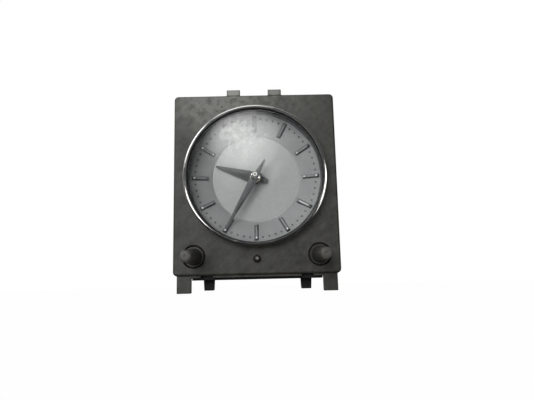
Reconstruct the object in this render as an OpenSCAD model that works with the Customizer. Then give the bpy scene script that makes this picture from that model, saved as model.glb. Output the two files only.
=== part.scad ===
// Analogue dashboard clock module: a moulded front plate with a chrome-ringed dial, two set buttons,
// a stepping movement on a circuit board, and a rear case.
// Drawing frame: x to the right, y up, z out of the dial towards the driver. The origin lies on the
// dial axis at the plate's front face. stand() turns the drawing upright, so that the front faces -y.

/* [Front plate] */
// Width of the front plate
plate_w = 70.5; // [63:0.5:78]
// Distance from the plate's sides in to the bezel
side_margin = 4.8; // [4:0.05:6]
// Distance from the bezel up to the plate's top edge
top_margin = 6.2; // [5:0.05:10]
// Distance from the bezel down to the plate's bottom edge
bottom_margin = 11.55; // [10.5:0.05:16]
// Thickness of the plate
plate_t = 3; // [2.6:0.1:4]
// Corner radius of the plate
plate_corner_r = 1.8; // [1.5:0.1:5]
// Bevel round the plate's front edge
plate_bevel = 0.7; // [0.3:0.1:1.2]

/* [Tabs, legs and pin] */
// How far the tabs and legs lie behind the plate's front face
setback = 0.8; // [0.7:0.1:1.2]
// Width of a top tab
tab_w = 5.9; // [3:0.1:8]
// Distance between the two top tabs, middle to middle
tab_pitch = 18.3; // [12:0.1:40]
// Height of a top tab above the plate
tab_h = 3; // [1.5:0.1:6]
// Thickness of a top tab
tab_t = 1.8; // [1:0.1:2]
// Bevel along a top tab's front edge
tab_bevel = 0.6; // [0.2:0.1:1]
// Width of an outer leg
leg_w = 6; // [3:0.1:6.4]
// Distance from the plate's side to an outer leg
leg_inset = 1.6; // [0.8:0.1:1.7]
// Drop of an outer leg below the plate
leg_drop = 7.2; // [4:0.1:12]
// Thickness of an outer leg
leg_t = 2.2; // [1.5:0.1:2.4]
// Drop of the sill below the plate, between the legs
sill_drop = 1; // [0.6:0.1:1.6]
// Radius of the locating pin
pin_r = 1.4; // [1:0.05:2.5]
// Length of the locating pin's straight part
pin_len = 1.4; // [1:0.1:4]
// Height of the locating pin's rounded tip
pin_tip_h = 0.8; // [0.4:0.1:1.5]
// Height of the locating pin above the plate's bottom edge
pin_rise = 6.6; // [4:0.1:9]

/* [Set buttons] */
// Radius of the button holes in the plate
button_hole_r = 4.8; // [4.5:0.05:5.5]
// Gap between a button and its hole
button_gap = 0.4; // [0.3:0.05:0.6]
// Radius of a button stem at its foot
stem_foot_r = 3.5; // [3:0.05:3.8]
// Radius of a button stem at its tip
stem_tip_r = 2.33; // [1.5:0.01:2.8]
// Reach of a button stem in front of the plate
stem_len = 19; // [10:0.5:25]
// Radius of the dimple in a stem's tip
dimple_r = 0.7; // [0.3:0.1:1]
// How deep a button's skirt lies below the plate's face
skirt_sink = 0.4; // [0.2:0.1:1]
// How far a button goes in
button_travel = 1; // [0.4:0.1:1.8]
// How far a button's shoulder reaches past its hole
shoulder_w = 0.25; // [0.15:0.05:0.5]
// Thickness of a button's shoulder
shoulder_t = 1.2; // [0.8:0.1:2]
// Radius of a button's tail, which pushes the switch
button_tail_r = 2.2; // [1.8:0.1:3]
// Length of a button's guide tube behind the plate
guide_len = 5; // [3.5:0.1:5.5]
// Wall of a button's guide tube
guide_wall = 0.9; // [0.7:0.05:1.2]
// Clearance of sliding and turning fits, on the radius
run_fit = 0.05; // [0.03:0.01:0.09]

/* [Bezel and lens] */
// Thickness of the lens
lens_t = 1.6; // [1:0.1:2]
// Clearance of pieces that are set in place and stay there
seat_fit = 0.1; // [0.05:0.01:0.15]
// Wall of the bezel's sleeve
bezel_wall = 0.9; // [0.7:0.05:1.1]
// How far the bezel's collar reaches past its sleeve
bezel_collar = 0.75; // [0.5:0.05:1]
// Height of the bezel in front of the plate
bezel_h = 4.4; // [3.6:0.1:6]
// Radius of the bead at the bezel's front
bezel_bead_r = 0.9; // [0.5:0.05:1]
// How far the bezel's lip covers the lens
bezel_lip = 0.6; // [0.6:0.1:1.5]
// Thickness of that lip at its edge
lip_t = 0.6; // [0.4:0.1:1]
// Depth of the lens behind the bezel's front
lens_recess = 1.6; // [1.4:0.1:2.2]
// Thickness of the lens gasket
gasket_t = 0.6; // [0.4:0.1:1]
// Width of the lens gasket
gasket_w = 0.6; // [0.6:0.1:1.2]
// Wall of the spacer ring between gasket and dial
spacer_wall = 0.6; // [0.5:0.05:1]

/* [Dial] */
// Rise of the chapter ring from its inner to its outer edge
dial_rise = 3; // [2:0.1:3.4]
// Step from the centre disc up to the chapter ring
dial_step = 0.4; // [0.2:0.1:1.6]
// Thickness of the centre disc
disc_t = 1.6; // [0.5:0.1:2]
// How far the dial's rim reaches past the lens radius
dial_rim = 0.5; // [0.3:0.1:0.7]
// Length of an hour marker
marker_len = 7; // [4:0.1:8]
// Width of an hour marker at its foot
marker_w = 1.7; // [1:0.1:2.5]
// Width of the flat on top of an hour marker
marker_flat = 0.6; // [0.3:0.05:0.9]
// Height of an hour marker
marker_h = 1; // [0.5:0.1:1.2]
// Adhesive film under an hour marker
glue_t = 0.03; // [0.02:0.01:0.06]
// Distance from the spacer ring in to an hour marker
marker_edge = 0.7; // [0.4:0.1:1.5]
// Distance from the hour markers in to the centre disc
centre_margin = 1.4; // [0.6:0.1:3]

/* [Hands] */
// Hour shown
shown_hour = 9; // [0:1:11]
// Minute shown
shown_minute = 35; // [0:1:59]
// Height of a hand at its ridge
hand_t = 0.8; // [0.5:0.1:1]
// Thickness of a hand at its edges
hand_edge = 0.3; // [0.2:0.05:0.4]
// Distance from the spacer ring in to the minute hand's tip
minute_tip_gap = 1.9; // [1:0.1:5]
// Tail of the minute hand behind the axis
minute_tail = 8.5; // [5:0.1:12]
// Width of the minute hand at its widest
minute_w = 3.5; // [2.5:0.1:5]
// Width of the minute hand's tip and tail
minute_tip_w = 0.6; // [0.3:0.05:1]
// Distance from the centre disc's edge in to the hour hand's tip
hour_tip_gap = 0.7; // [0.4:0.1:5]
// Tail of the hour hand behind the axis
hour_tail = 5.4; // [4:0.1:8]
// Width of the hour hand at its widest
hour_w = 4.8; // [4:0.1:6]
// Width of the hour hand's tip
hour_tip_w = 0.7; // [0.3:0.05:1.2]
// Width of the hour hand's tail
hour_tail_w = 2.2; // [1:0.1:3]
// Distance from the axis to the widest point of a hand
hand_shoulder = 3; // [2:0.1:5]
// Height of the hour hand above the centre disc
hour_lift = 1.1; // [1:0.1:2.1]
// Gap between the minute hand and the hour markers
minute_lift = 0.45; // [0.35:0.05:0.8]
// Radius of the cap on the hands' hub
cap_r = 2; // [1.6:0.1:3]
// Height of that cap
cap_h = 1.1; // [0.7:0.1:1.6]
// Room between that cap and the lens
cap_room = 1.2; // [0.6:0.1:2]

/* [Lighting and circuit board] */
// Thickness of the light guide
light_t = 3; // [2:0.1:4]
// Thickness of the reflector tray's floor
tray_t = 1; // [0.8:0.1:2]
// Wall of the reflector tray's rim
tray_wall = 1; // [0.8:0.1:1.2]
// How far the tray's rim stands up past the light guide
tray_grip = 2; // [1:0.1:2.2]
// Room between tray and circuit board, for the lamps
led_room = 1.5; // [1.3:0.1:3]
// Side of a lamp
led_side = 3; // [2:0.1:4]
// Height of a lamp
led_h = 1.2; // [0.6:0.1:1.2]
// Distance from the dial's rim in to the middle of a lamp
led_inset = 5.2; // [4:0.1:6.5]
// Thickness of the circuit board
board_t = 1.6; // [1:0.1:2]
// Gap between the circuit board and the case
board_gap = 1.2; // [0.5:0.1:1.5]
// Radius of the hole for the hands' shaft
shaft_hole_r = 3.4; // [3.3:0.1:3.8]
// Side of a push switch
switch_side = 6; // [5:0.1:7]
// Radius of a push switch's plunger
plunger_r = 1.7; // [1.2:0.1:2]
// How deep a plunger goes into its switch at rest
plunger_in = 1.2; // [0.8:0.1:1.6]
// How far a plunger still stands out of its switch when it is pressed
plunger_out = 1.2; // [0.8:0.1:1.6]
// Spare depth under a plunger when it is pressed
plunger_spare = 0.2; // [0.1:0.05:0.5]
// Floor of a push switch under its plunger
switch_floor = 1; // [0.6:0.1:1.4]
// Width of the control chip's body
chip_w = 6; // [4:0.1:7]
// Length of the control chip's body
chip_l = 9; // [6:0.1:10]
// Height of the control chip
chip_h = 1.8; // [1:0.1:2.5]
// Height of the control chip's middle above the dial axis
chip_y = 2.8; // [1:0.1:4]
// How far a leg of the control chip reaches out from its body
chip_reach = 0.8; // [0.5:0.1:1.2]
// Legs along each side of the control chip
chip_legs = 7; // [4:1:8]
// Gap between parts on the circuit board
parts_gap = 1.2; // [0.6:0.1:1.6]
// Radius of the quartz crystal's can
crystal_r = 1.5; // [1:0.1:2]
// Length of the quartz crystal's can
crystal_l = 7; // [5:0.1:8]
// Radius of a capacitor
capacitor_r = 3; // [2:0.1:3.3]
// Height of a capacitor
capacitor_h = 6; // [4:0.1:8]
// Length of a resistor
resistor_l = 2; // [1:0.1:2.4]
// Width of a resistor
resistor_w = 1; // [0.6:0.1:1.4]
// Height of a resistor
resistor_h = 0.7; // [0.4:0.1:1]
// Distance between resistors, middle to middle
resistor_pitch = 2; // [1.6:0.1:2.2]
// Number of resistors
resistor_count = 4; // [2:1:4]
// Width of the connector header
header_w = 9.6; // [8:0.1:10]
// Length of the connector header
header_l = 17; // [14:0.1:18]
// Height of the connector's middle above the dial axis
header_y = 0; // [-1:0.1:1]
// Wall of the connector header
header_wall = 1.2; // [0.8:0.1:1.5]
// Depth of the connector socket
socket_depth = 11; // [8:0.1:11.5]
// Number of connector pins
contact_count = 4; // [2:1:6]
// Side of a connector pin
contact_side = 0.7; // [0.5:0.05:1]
// Length of a connector pin inside the socket
contact_len = 5.5; // [4:0.1:6]

/* [Movement] */
// Teeth of the rotor's pinion
rotor_teeth = 8; // [8:1:10]
// Teeth of the intermediate wheel
inter_wheel_teeth = 40; // [36:1:44]
// Tooth module of rotor and intermediate wheel
rotor_module = 0.35; // [0.32:0.01:0.38]
// Teeth of the intermediate pinion
inter_pinion_teeth = 8; // [8:1:10]
// Teeth of the minute wheel
minute_wheel_teeth = 48; // [44:1:52]
// Tooth module of intermediate pinion and minute wheel
minute_module = 0.4; // [0.38:0.01:0.42]
// Teeth of the minute wheel's own pinion
minute_pinion_teeth = 12; // [12:1:14]
// Teeth of the motion wheel
motion_wheel_teeth = 36; // [32:1:38]
// Tooth module of the minute pinion and the motion wheel
motion_module = 0.5; // [0.46:0.01:0.52]
// Teeth of the motion wheel's pinion
motion_pinion_teeth = 10; // [9:1:12]
// Teeth of the hour wheel
hour_wheel_teeth = 40; // [38:1:44]
// Play cut from each tooth's thickness
backlash = 0.08; // [0.05:0.01:0.12]
// Thickness of a wheel
wheel_t = 1; // [0.8:0.1:1.4]
// Gap between wheels that pass each other
wheel_gap = 0.4; // [0.3:0.05:0.6]
// Radius of the pins that the wheels turn on
wheel_pin_r = 0.5; // [0.4:0.05:0.6]
// Radius of the bosses behind the wheels, which hold those pins
pin_boss_r = 1.5; // [1.2:0.1:1.8]
// Radius of the fixed post on the dial axis
post_r = 0.75; // [0.6:0.05:0.9]
// Wall of the minute hand's tube
tube_wall = 0.6; // [0.4:0.05:0.7]
// Wall of the hour hand's pipe
pipe_wall = 0.85; // [0.6:0.05:0.9]
// Thickness of the movement plate
mplate_t = 1.4; // [1.2:0.1:2]
// Thickness of the movement cover's floor
cover_t = 1.4; // [1:0.1:2]
// Wall of the movement cover
cover_wall = 1.2; // [0.8:0.1:1.5]
// Room between the last wheel and the cover's floor
cover_room = 1.4; // [1.2:0.1:2]
// Radius of the rotor magnet
magnet_r = 3; // [2.5:0.1:3.3]
// Height of the rotor magnet
magnet_h = 2.4; // [2:0.1:2.6]
// Wall of the rotor's sleeve inside its magnet
rotor_wall = 0.7; // [0.5:0.05:1]
// Air gap round the rotor magnet
air_gap = 0.4; // [0.3:0.05:0.5]
// Width of the stator
stator_w = 26; // [24:0.5:27]
// Thickness of the stator and of the coil's core
stator_t = 1; // [0.8:0.1:1.1]
// Iron round the rotor hole
stator_rim = 1.2; // [1:0.1:1.6]
// Width of a stator arm
arm_w = 3.6; // [3.2:0.1:4]
// Distance from the rotor to the coil
coil_drop = 12; // [11:0.1:12.5]
// Height of the coil's core
core_h = 4; // [3.6:0.1:4.2]
// Wall of the coil bobbin
bobbin_wall = 0.5; // [0.4:0.05:0.6]
// Height of the bobbin's end flanges
flange_h = 7; // [6.4:0.1:7.2]
// Depth of the bobbin's end flanges
flange_d = 4.8; // [4.2:0.1:5]

/* [Case and screws] */
// Distance from the plate's sides and top in to the case
case_inset = 1.25; // [0.6:0.05:1.3]
// Distance from the plate's bottom edge up to the case
case_rise = 0.4; // [0.2:0.1:0.8]
// Wall of the case
case_wall = 1.4; // [1.2:0.1:1.8]
// Back wall of the case
case_back_t = 2; // [1.4:0.1:3]
// Corner radius of the case
case_corner_r = 3; // [2:0.1:4]
// Room between movement and case
case_room = 1.5; // [1.3:0.1:4]
// Width of the rail under the case
rail_w = 55.2; // [50:0.1:55.2]
// Drop of the rail below the plate
rail_drop = 2; // [1:0.1:3]
// Depth of the rail, front to back
rail_depth = 9; // [8:0.1:14]
// Width of an inner clip
clip_w = 4.8; // [3:0.1:6]
// Width of an inner clip at its tip
clip_tip_w = 4.3; // [2.5:0.1:4.6]
// Distance between the two inner clips
clip_pitch = 42.2; // [30:0.1:45]
// Drop of an inner clip below the rail
clip_drop = 4.6; // [4.5:0.1:8]
// Thickness of an inner clip
clip_t = 2.2; // [1.5:0.1:3]
// Ribs along each side of the case
rib_count = 3; // [0:1:5]
// Width of a rib
rib_w = 2; // [1:0.1:3]
// Height of a rib
rib_h = 0.6; // [0.3:0.1:0.6]
// Number of vent slots in the back wall
vent_count = 7; // [0:1:8]
// Width of a vent slot
vent_w = 1.4; // [1:0.1:2]
// Length of a vent slot
vent_l = 5; // [3:0.1:6]
// Distance between vent slots
vent_pitch = 3.6; // [3:0.1:4]
// Distance from the case's top down to the vent slots
vent_top = 5; // [4:0.1:6]
// Width of the bare panel sunk in the back wall
panel_w = 32; // [20:0.5:36]
// Height of that panel
panel_h = 20; // [12:0.5:24]
// Depth of that panel
panel_sink = 0.4; // [0.2:0.1:0.6]
// Radius of the screw columns in the case
column_r = 3.4; // [3.2:0.1:3.6]
// Ledge under a case screw's head, inside its column
screw_ledge = 3.4; // [2:0.1:5]
// Radius of the screw bosses behind the plate
boss_r = 2.8; // [2.4:0.1:3]
// Distance from the case's top down to the upper screws
screw_top = 9.8; // [8:0.1:11]
// Gap between the lower screws' bosses and the reflector tray
screw_gap = 1.3; // [0.6:0.1:2]
// Radius of a case screw's shank
screw_r = 1.2; // [1:0.05:1.4]
// Radius of a case screw's head
screw_head_r = 2.4; // [2.1:0.05:2.5]
// Height of a case screw's head
screw_head_h = 1.8; // [1.2:0.1:2.2]
// Length of a case screw's thread in its boss
screw_bite = 6; // [4:0.1:8]
// Radius of a small screw's shank
small_screw_r = 0.9; // [0.7:0.05:1]
// Radius of a small screw's head
small_head_r = 1.7; // [1.5:0.05:1.9]
// Height of a small screw's head
small_head_h = 1; // [0.8:0.1:1.2]
// Depth of the cross slot in a screw's head
slot_depth = 0.6; // [0.4:0.05:0.7]
// Width of the cross slot in a screw's head
slot_w = 0.6; // [0.4:0.05:0.7]
// Radius of the ears that hold the movement
ear_r = 2.6; // [2.4:0.1:2.8]
// Thickness of those ears
ear_t = 1.6; // [1.2:0.1:2]
// Height of those ears above and below the axis
ear_y = 12; // [11:0.1:13]

/* [Hidden] */
$fn = 96;
eps = 0.01;
// Tooth form: pressure angle in degrees, heights in modules, teeth below which a pinion is undercut
pressure_angle = 20;
tooth_out = 0.8;
tooth_in = 1.25;
undercut_teeth = 17;
spare_shift = 0.02;
// Length of a cross slot as a share of its screw head
slot_share = 0.7;

// Radii from the bezel in to the hands, and the plate's reach above and below the dial axis
collar_r = plate_w / 2 - side_margin;
plate_above = collar_r + top_margin;
plate_below = collar_r + bottom_margin;
sleeve_r = collar_r - bezel_collar;
sleeve_in_r = sleeve_r - bezel_wall;
lens_r = sleeve_in_r - seat_fit;
lip_r = lens_r - bezel_lip;
dial_r = lens_r + dial_rim;
tray_r = dial_r + seat_fit + tray_wall;
led_ring_r = dial_r - led_inset;
spacer_in_r = lens_r - spacer_wall;
marker_out_r = spacer_in_r - marker_edge;
marker_in_r = marker_out_r - marker_len;
centre_r = marker_in_r - centre_margin;
minute_tip_r = spacer_in_r - minute_tip_gap;
hour_tip_r = centre_r - hour_tip_gap;
slope = atan(dial_rise / (spacer_in_r - centre_r));

// Levels along the dial axis, from the lens back to the circuit board
lens_front = bezel_h - lens_recess;
lens_back = lens_front - lens_t;
gasket_back = lens_back - gasket_t;
cap_top = lens_back - cap_room;
minute_top = cap_top - cap_h;
minute_back = minute_top - hand_t;
marker_foot = minute_back - minute_lift - (marker_h + glue_t) / cos(slope);
ring_in = marker_foot - (minute_tip_r - centre_r) * tan(slope);
ring_out = ring_in + dial_rise;
sleeve_end = ring_out + seat_fit;
disc_front = ring_in - dial_step;
disc_back = disc_front - disc_t;
hour_back = disc_front + hour_lift;
hour_top = hour_back + hand_t;
light_back = disc_back - light_t;
tray_back = light_back - tray_t;
board_front = tray_back - led_room;
board_back = board_front - board_t;

// Levels of the gear train, from the board back to the case
mplate_back = board_back - mplate_t;
hour_wheel_z = mplate_back - wheel_gap - wheel_t;
motion_wheel_z = hour_wheel_z - wheel_gap - wheel_t;
minute_wheel_z = motion_wheel_z - wheel_gap - wheel_t;
inter_wheel_z = minute_wheel_z - wheel_gap - wheel_t;
cover_front = inter_wheel_z - cover_room;
cover_back = cover_front - cover_t;
mesh_over = wheel_gap / 2;
magnet_front = mplate_back - wheel_gap;
stator_front = magnet_front - (magnet_h - stator_t) / 2;
stator_back = stator_front - stator_t;
core_back = stator_back - stator_t;
case_front = -plate_t;
case_in = cover_back - case_room;
case_back = case_in - case_back_t;

// Gear centres lie on one upright line through the dial axis
motion_y = motion_module * (minute_pinion_teeth + motion_wheel_teeth) / 2;
hour_module = 2 * motion_y / (motion_pinion_teeth + hour_wheel_teeth);
inter_y = -minute_module * (inter_pinion_teeth + minute_wheel_teeth) / 2;
rotor_y = inter_y - rotor_module * (rotor_teeth + inter_wheel_teeth) / 2;
coil_y = rotor_y - coil_drop;
coil_len = stator_w - 2 * arm_w - 2 * seat_fit;
tube_in_r = post_r + run_fit;
tube_r = tube_in_r + tube_wall;
pipe_in_r = tube_r + run_fit;
pipe_r = pipe_in_r + pipe_wall;
wheel_bore_r = wheel_pin_r + run_fit;
magnet_bore_r = wheel_bore_r + rotor_wall;

// Insides of the movement and the case
move_half_w = stator_w / 2 + seat_fit + cover_wall;
move_top = motion_y + motion_module * (motion_wheel_teeth / 2 + 1) + cover_wall;
move_bottom = coil_y - flange_h / 2 - seat_fit - cover_wall;
move_corner_r = cover_wall;
ear_x = move_half_w + small_head_r + seat_fit;
case_half_w = plate_w / 2 - case_inset;
case_top = plate_above - case_inset;
case_bottom = -plate_below + case_rise;
room_half_w = case_half_w - case_wall;
room_top = case_top - case_wall;
room_bottom = case_bottom + case_wall;
board_half_w = room_half_w - board_gap;
board_top = room_top - board_gap;
board_bottom = room_bottom + board_gap;
rail_bottom = -plate_below - rail_drop;
screw_x = room_half_w - column_r - board_gap;
screw_high = case_top - screw_top;
screw_low = -sqrt(pow(tray_r + screw_gap + boss_r, 2) - pow(screw_x, 2));
screw_spots = [for (sx = [-1, 1], y = [screw_low, screw_high]) [sx * screw_x, y]];
ear_spots = [for (sx = [-1, 1], sy = [-1, 1]) [sx * ear_x, sy * ear_y]];
screw_seat = board_back - screw_ledge;

// Set buttons stand in the plate's lower corners, with their guides just inside the case
button_r = button_hole_r - button_gap;
shoulder_r = button_hole_r + shoulder_w;
guide_in_r = shoulder_r + run_fit;
guide_r = guide_in_r + guide_wall;
button_x = room_half_w - seat_fit - guide_r;
button_y = room_bottom + seat_fit + guide_r;
switch_h = plunger_in + button_travel + plunger_spare + switch_floor;
switch_front = board_front + switch_h;
button_end = switch_front + button_travel + plunger_out;

// Parts on the back of the board, left and right of the movement
parts_x = (board_half_w + ear_x + ear_r) / 2;
header_x = board_half_w - header_w / 2 - seat_fit;
socket_floor = case_back + socket_depth;
capacitor_y = chip_y + chip_l / 2 + parts_gap + capacitor_r;
crystal_y = chip_y - chip_l / 2 - parts_gap - crystal_l / 2;
resistor_y = crystal_y - crystal_l / 2 - parts_gap - resistor_l / 2;
capacitor_low_y = header_y - header_l / 2 - capacitor_r - seat_fit;

plate_colour = [0.28, 0.275, 0.25];
chrome_colour = [0.85, 0.86, 0.87];
brass_colour = [0.78, 0.62, 0.32];
steel_colour = [0.62, 0.63, 0.65];
black_colour = [0.06, 0.06, 0.06];
white_colour = [0.9, 0.9, 0.88];
gear_colour = [0.86, 0.84, 0.76];

// Turn the drawing frame upright
module stand() {
    rotate([90, 0, 0]) children();
}

// Extrude an outline between two levels
module slab(back, front) {
    translate([0, 0, back]) linear_extrude(front - back) children();
}

// Straight round bar between two levels
module rod(r, back, front) {
    translate([0, 0, back]) cylinder(r = r, h = front - back);
}

// Round tube between two levels
module tube(r_in, r_out, back, front) {
    slab(back, front) difference() {
        circle(r_out);
        circle(r_in);
    }
}

// Rectangle between two corners, with round corners
module round_rect(low, high, r) {
    translate([low.x + r, low.y]) square([high.x - low.x - 2 * r, high.y - low.y]);
    translate([low.x, low.y + r]) square([high.x - low.x, high.y - low.y - 2 * r]);
    for (x = [low.x + r, high.x - r], y = [low.y + r, high.y - r]) translate([x, y]) circle(r);
}

// Rectangle centred on a point
module centred_rect(at, size) {
    translate(at - size / 2) square(size);
}

// Involute of an angle, in degrees
function inv(a) = tan(a) * 180 / PI - a;

// Profile shift that keeps a pinion of few teeth from being undercut
function pinion_shift(teeth) = max(0, 1 - teeth / undercut_teeth) + spare_shift;

// Half the angle of a tooth at radius r
function tooth_half(teeth, mod, shift, r) =
    let (pitch = teeth * mod / 2, base = pitch * cos(pressure_angle))
    (90 + 2 * shift * tan(pressure_angle) * 180 / PI) / teeth - backlash / 2 / pitch * 180 / PI
    + inv(pressure_angle) - inv(acos(min(1, base / r)));

// Outline of a gear with a tooth centred on the angle "facing"
module gear_outline(teeth, mod, shift, facing) {
    pitch = teeth * mod / 2;
    base = pitch * cos(pressure_angle);
    tip = pitch + (tooth_out + shift) * mod;
    root = pitch - (tooth_in - shift) * mod;
    radii = root < base - eps ? [root, base, (base + tip) / 2, tip] : [root, (root + tip) / 2, tip];
    count = len(radii);
    polygon([
        for (i = [0 : teeth - 1], k = [0 : 2 * count - 1])
            let (
                rising = k < count,
                r = radii[rising ? k : 2 * count - 1 - k],
                half = tooth_half(teeth, mod, shift, max(r, base)),
                a = facing + 360 * i / teeth + (rising ? -half : half)
            )
            r * [cos(a), sin(a)]
    ]);
}

// Screw with a cross slot, its head towards the back
module screw(shank_r, head_r, head_h, seat, tip) {
    rod(shank_r, seat, tip);
    difference() {
        rod(head_r, seat - head_h, seat);
        for (turn = [0, 90]) rotate(turn)
            slab(seat - head_h - eps, seat - head_h + slot_depth)
                centred_rect([0, 0], [2 * slot_share * head_r, slot_w]);
    }
}

// Hand that points to 12, with a ridge that falls from its hub to its ends
module hand_blank(tip, tip_w, wide, tail, tail_w, hub_r) {
    hull() {
        linear_extrude(hand_edge) polygon([
            [-tip_w / 2, tip], [tip_w / 2, tip], [wide / 2, hand_shoulder],
            [tail_w / 2, -tail], [-tail_w / 2, -tail], [-wide / 2, hand_shoulder]
        ]);
        linear_extrude(hand_t) polygon([
            [0, hand_shoulder], [hand_edge / 2, 0], [0, -hand_shoulder], [-hand_edge / 2, 0]
        ]);
    }
    cylinder(r = hub_r, h = hand_t);
}

// Front plate

module plate_body() {
    low = [-plate_w / 2, -plate_below];
    high = [plate_w / 2, plate_above];
    in = [plate_bevel, plate_bevel];
    hull() {
        slab(-plate_t, -plate_bevel) round_rect(low, high, plate_corner_r, $fn = 32);
        slab(-plate_bevel - eps, 0) round_rect(low + in, high - in, plate_corner_r - plate_bevel, $fn = 32);
    }
}

module plate_tabs() {
    root = plate_above - plate_corner_r;
    top = plate_above + tab_h;
    for (sx = [-1, 1]) translate([sx * tab_pitch / 2 - tab_w / 2, 0, -setback - tab_t])
        rotate([90, 0, 90]) linear_extrude(tab_w)
            polygon([
                [root, 0], [top, 0], [top, tab_t - tab_bevel], [top - tab_bevel, tab_t], [root, tab_t]
            ]);
}

module plate_legs() {
    leg_x = plate_w / 2 - leg_inset - leg_w / 2;
    for (sx = [-1, 1]) slab(-setback - leg_t, -setback) {
        translate([sx * leg_x - leg_w / 2, -plate_below - leg_drop]) square([leg_w, leg_drop + case_rise]);
    }
}

// Sill that joins the legs below the plate, open where the case's clips come down
module plate_sill() {
    sill_w = plate_w - 2 * leg_inset - leg_w;
    slab(-plate_t, -setback) difference() {
        translate([-sill_w / 2, -plate_below - sill_drop]) square([sill_w, sill_drop + case_rise]);
        for (sx = [-1, 1])
            centred_rect([sx * clip_pitch / 2, -plate_below - sill_drop], [clip_w + 2 * seat_fit, 2 * sill_drop]);
    }
}

module locating_pin() {
    translate([0, pin_rise - plate_below, 0]) {
        rod(pin_r, -plate_t / 2, pin_len);
        translate([0, 0, pin_len]) cylinder(r1 = pin_r, r2 = pin_r / 2, h = pin_tip_h);
    }
}

module front_plate() {
    color(plate_colour) stand() difference() {
        union() {
            plate_body();
            plate_tabs();
            plate_legs();
            plate_sill();
            locating_pin();
            for (at = screw_spots) translate(at) rod(boss_r, board_front, -plate_t / 2);
            for (sx = [-1, 1]) translate([sx * button_x, button_y])
                rod(guide_r, case_front - guide_len, case_front);
        }
        rod(sleeve_r + seat_fit / 2, case_front - eps, plate_t);
        for (at = screw_spots) translate(at)
            rod(screw_r, board_front - eps, board_front + screw_bite + seat_fit);
        for (sx = [-1, 1]) translate([sx * button_x, button_y]) {
            rod(button_hole_r, case_front - eps, plate_t);
            rod(guide_in_r, case_front - guide_len - eps, case_front);
        }
    }
}

// Bezel, lens and dial

module chrome_bezel() {
    bead_z = bezel_h - bezel_bead_r;
    bead_x = collar_r - bezel_bead_r;
    color(chrome_colour) stand() rotate_extrude() polygon(concat(
        [[sleeve_in_r, sleeve_end], [sleeve_r, sleeve_end], [sleeve_r, 0], [collar_r, 0]],
        [for (a = [0 : 10 : 130]) [bead_x + bezel_bead_r * cos(a), bead_z + bezel_bead_r * sin(a)]],
        [[lip_r, lens_front + lip_t], [lip_r, lens_front], [sleeve_in_r, lens_front]]
    ));
}

module lens() {
    color([0.8, 0.88, 0.9, 0.35]) stand() rod(lens_r, lens_back, lens_front);
}

module lens_gasket() {
    color(black_colour) stand() tube(lens_r - gasket_w, lens_r, gasket_back, lens_back);
}

module spacer_ring() {
    color(black_colour) stand() tube(spacer_in_r, lens_r, ring_out, gasket_back);
}

module dial_ring() {
    color([0.55, 0.57, 0.58]) stand() rotate_extrude() polygon([
        [centre_r, disc_back], [dial_r, disc_back], [dial_r, ring_out],
        [spacer_in_r, ring_out], [centre_r, ring_in]
    ]);
}

module dial_centre() {
    color([0.72, 0.73, 0.72]) stand() tube(shaft_hole_r, centre_r - seat_fit, disc_back, disc_front);
}

// One baton that lies on the slope of the chapter ring, at 12
module hour_marker() {
    half_w = marker_w / 2;
    half_flat = marker_flat / 2;
    side = half_w - half_flat;
    run = marker_len / cos(slope);
    translate([0, marker_in_r, ring_in + (marker_in_r - centre_r) * tan(slope)])
        rotate([slope, 0, 0]) translate([0, 0, glue_t]) intersection() {
            rotate([90, 0, 180]) linear_extrude(run)
                polygon([[-half_w, 0], [half_w, 0], [half_flat, marker_h], [-half_flat, marker_h]]);
            translate([-half_w, 0, 0]) rotate([90, 0, 90]) linear_extrude(marker_w)
                polygon([[0, 0], [run, 0], [run - side, marker_h], [side, marker_h]]);
        }
}

module hour_markers() {
    color(steel_colour) stand() for (i = [0 : 11]) rotate(-30 * i) hour_marker();
}

module light_guide() {
    color([0.85, 0.9, 0.92, 0.6]) stand() tube(shaft_hole_r, dial_r, light_back, disc_back);
}

module reflector_tray() {
    window = led_side + 2 * seat_fit;
    color(white_colour) stand() difference() {
        union() {
            tube(shaft_hole_r, tray_r, tray_back, light_back);
            tube(tray_r - tray_wall, tray_r, tray_back, disc_back + tray_grip);
            for (at = ear_spots) translate(at) rod(ear_r - seat_fit, board_front, light_back);
        }
        for (at = ear_spots) translate(at)
            rod(small_screw_r, board_front - eps, tray_back + tray_t / 2 + eps);
        for (turn = [0 : 90 : 270]) rotate(turn) slab(tray_back - eps, light_back + eps)
            centred_rect([led_ring_r, 0], [window, window]);
    }
}

// Hands

module hour_hand() {
    angle = 30 * shown_hour + shown_minute / 2;
    color(steel_colour) stand() translate([0, 0, hour_back]) difference() {
        rotate(-angle)
            hand_blank(hour_tip_r, hour_tip_w, hour_w, hour_tail, hour_tail_w, pipe_r + tube_wall);
        rod(pipe_r, -eps, hand_t + eps);
    }
}

module minute_hand() {
    angle = 6 * shown_minute;
    color(steel_colour) stand() translate([0, 0, minute_back]) difference() {
        rotate(-angle) hand_blank(minute_tip_r, minute_tip_w, minute_w, minute_tail, minute_tip_w, cap_r);
        rod(tube_r, -eps, hand_t + eps);
    }
}

module hand_cap() {
    nipple = cap_r / 2;
    disc = cap_h / 2;
    color(chrome_colour) stand() translate([0, 0, minute_top]) rotate_extrude() polygon(concat(
        [[0, 0], [cap_r, 0], [cap_r, disc / 2], [cap_r - disc / 2, disc], [nipple, disc]],
        [for (a = [0 : 15 : 90]) [nipple / 2 * (1 + cos(a)), disc + (cap_h - disc) * sin(a)]],
        [[nipple / 4, cap_h], [0, cap_h - disc / 2]]
    ));
}

// Gear train

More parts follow.
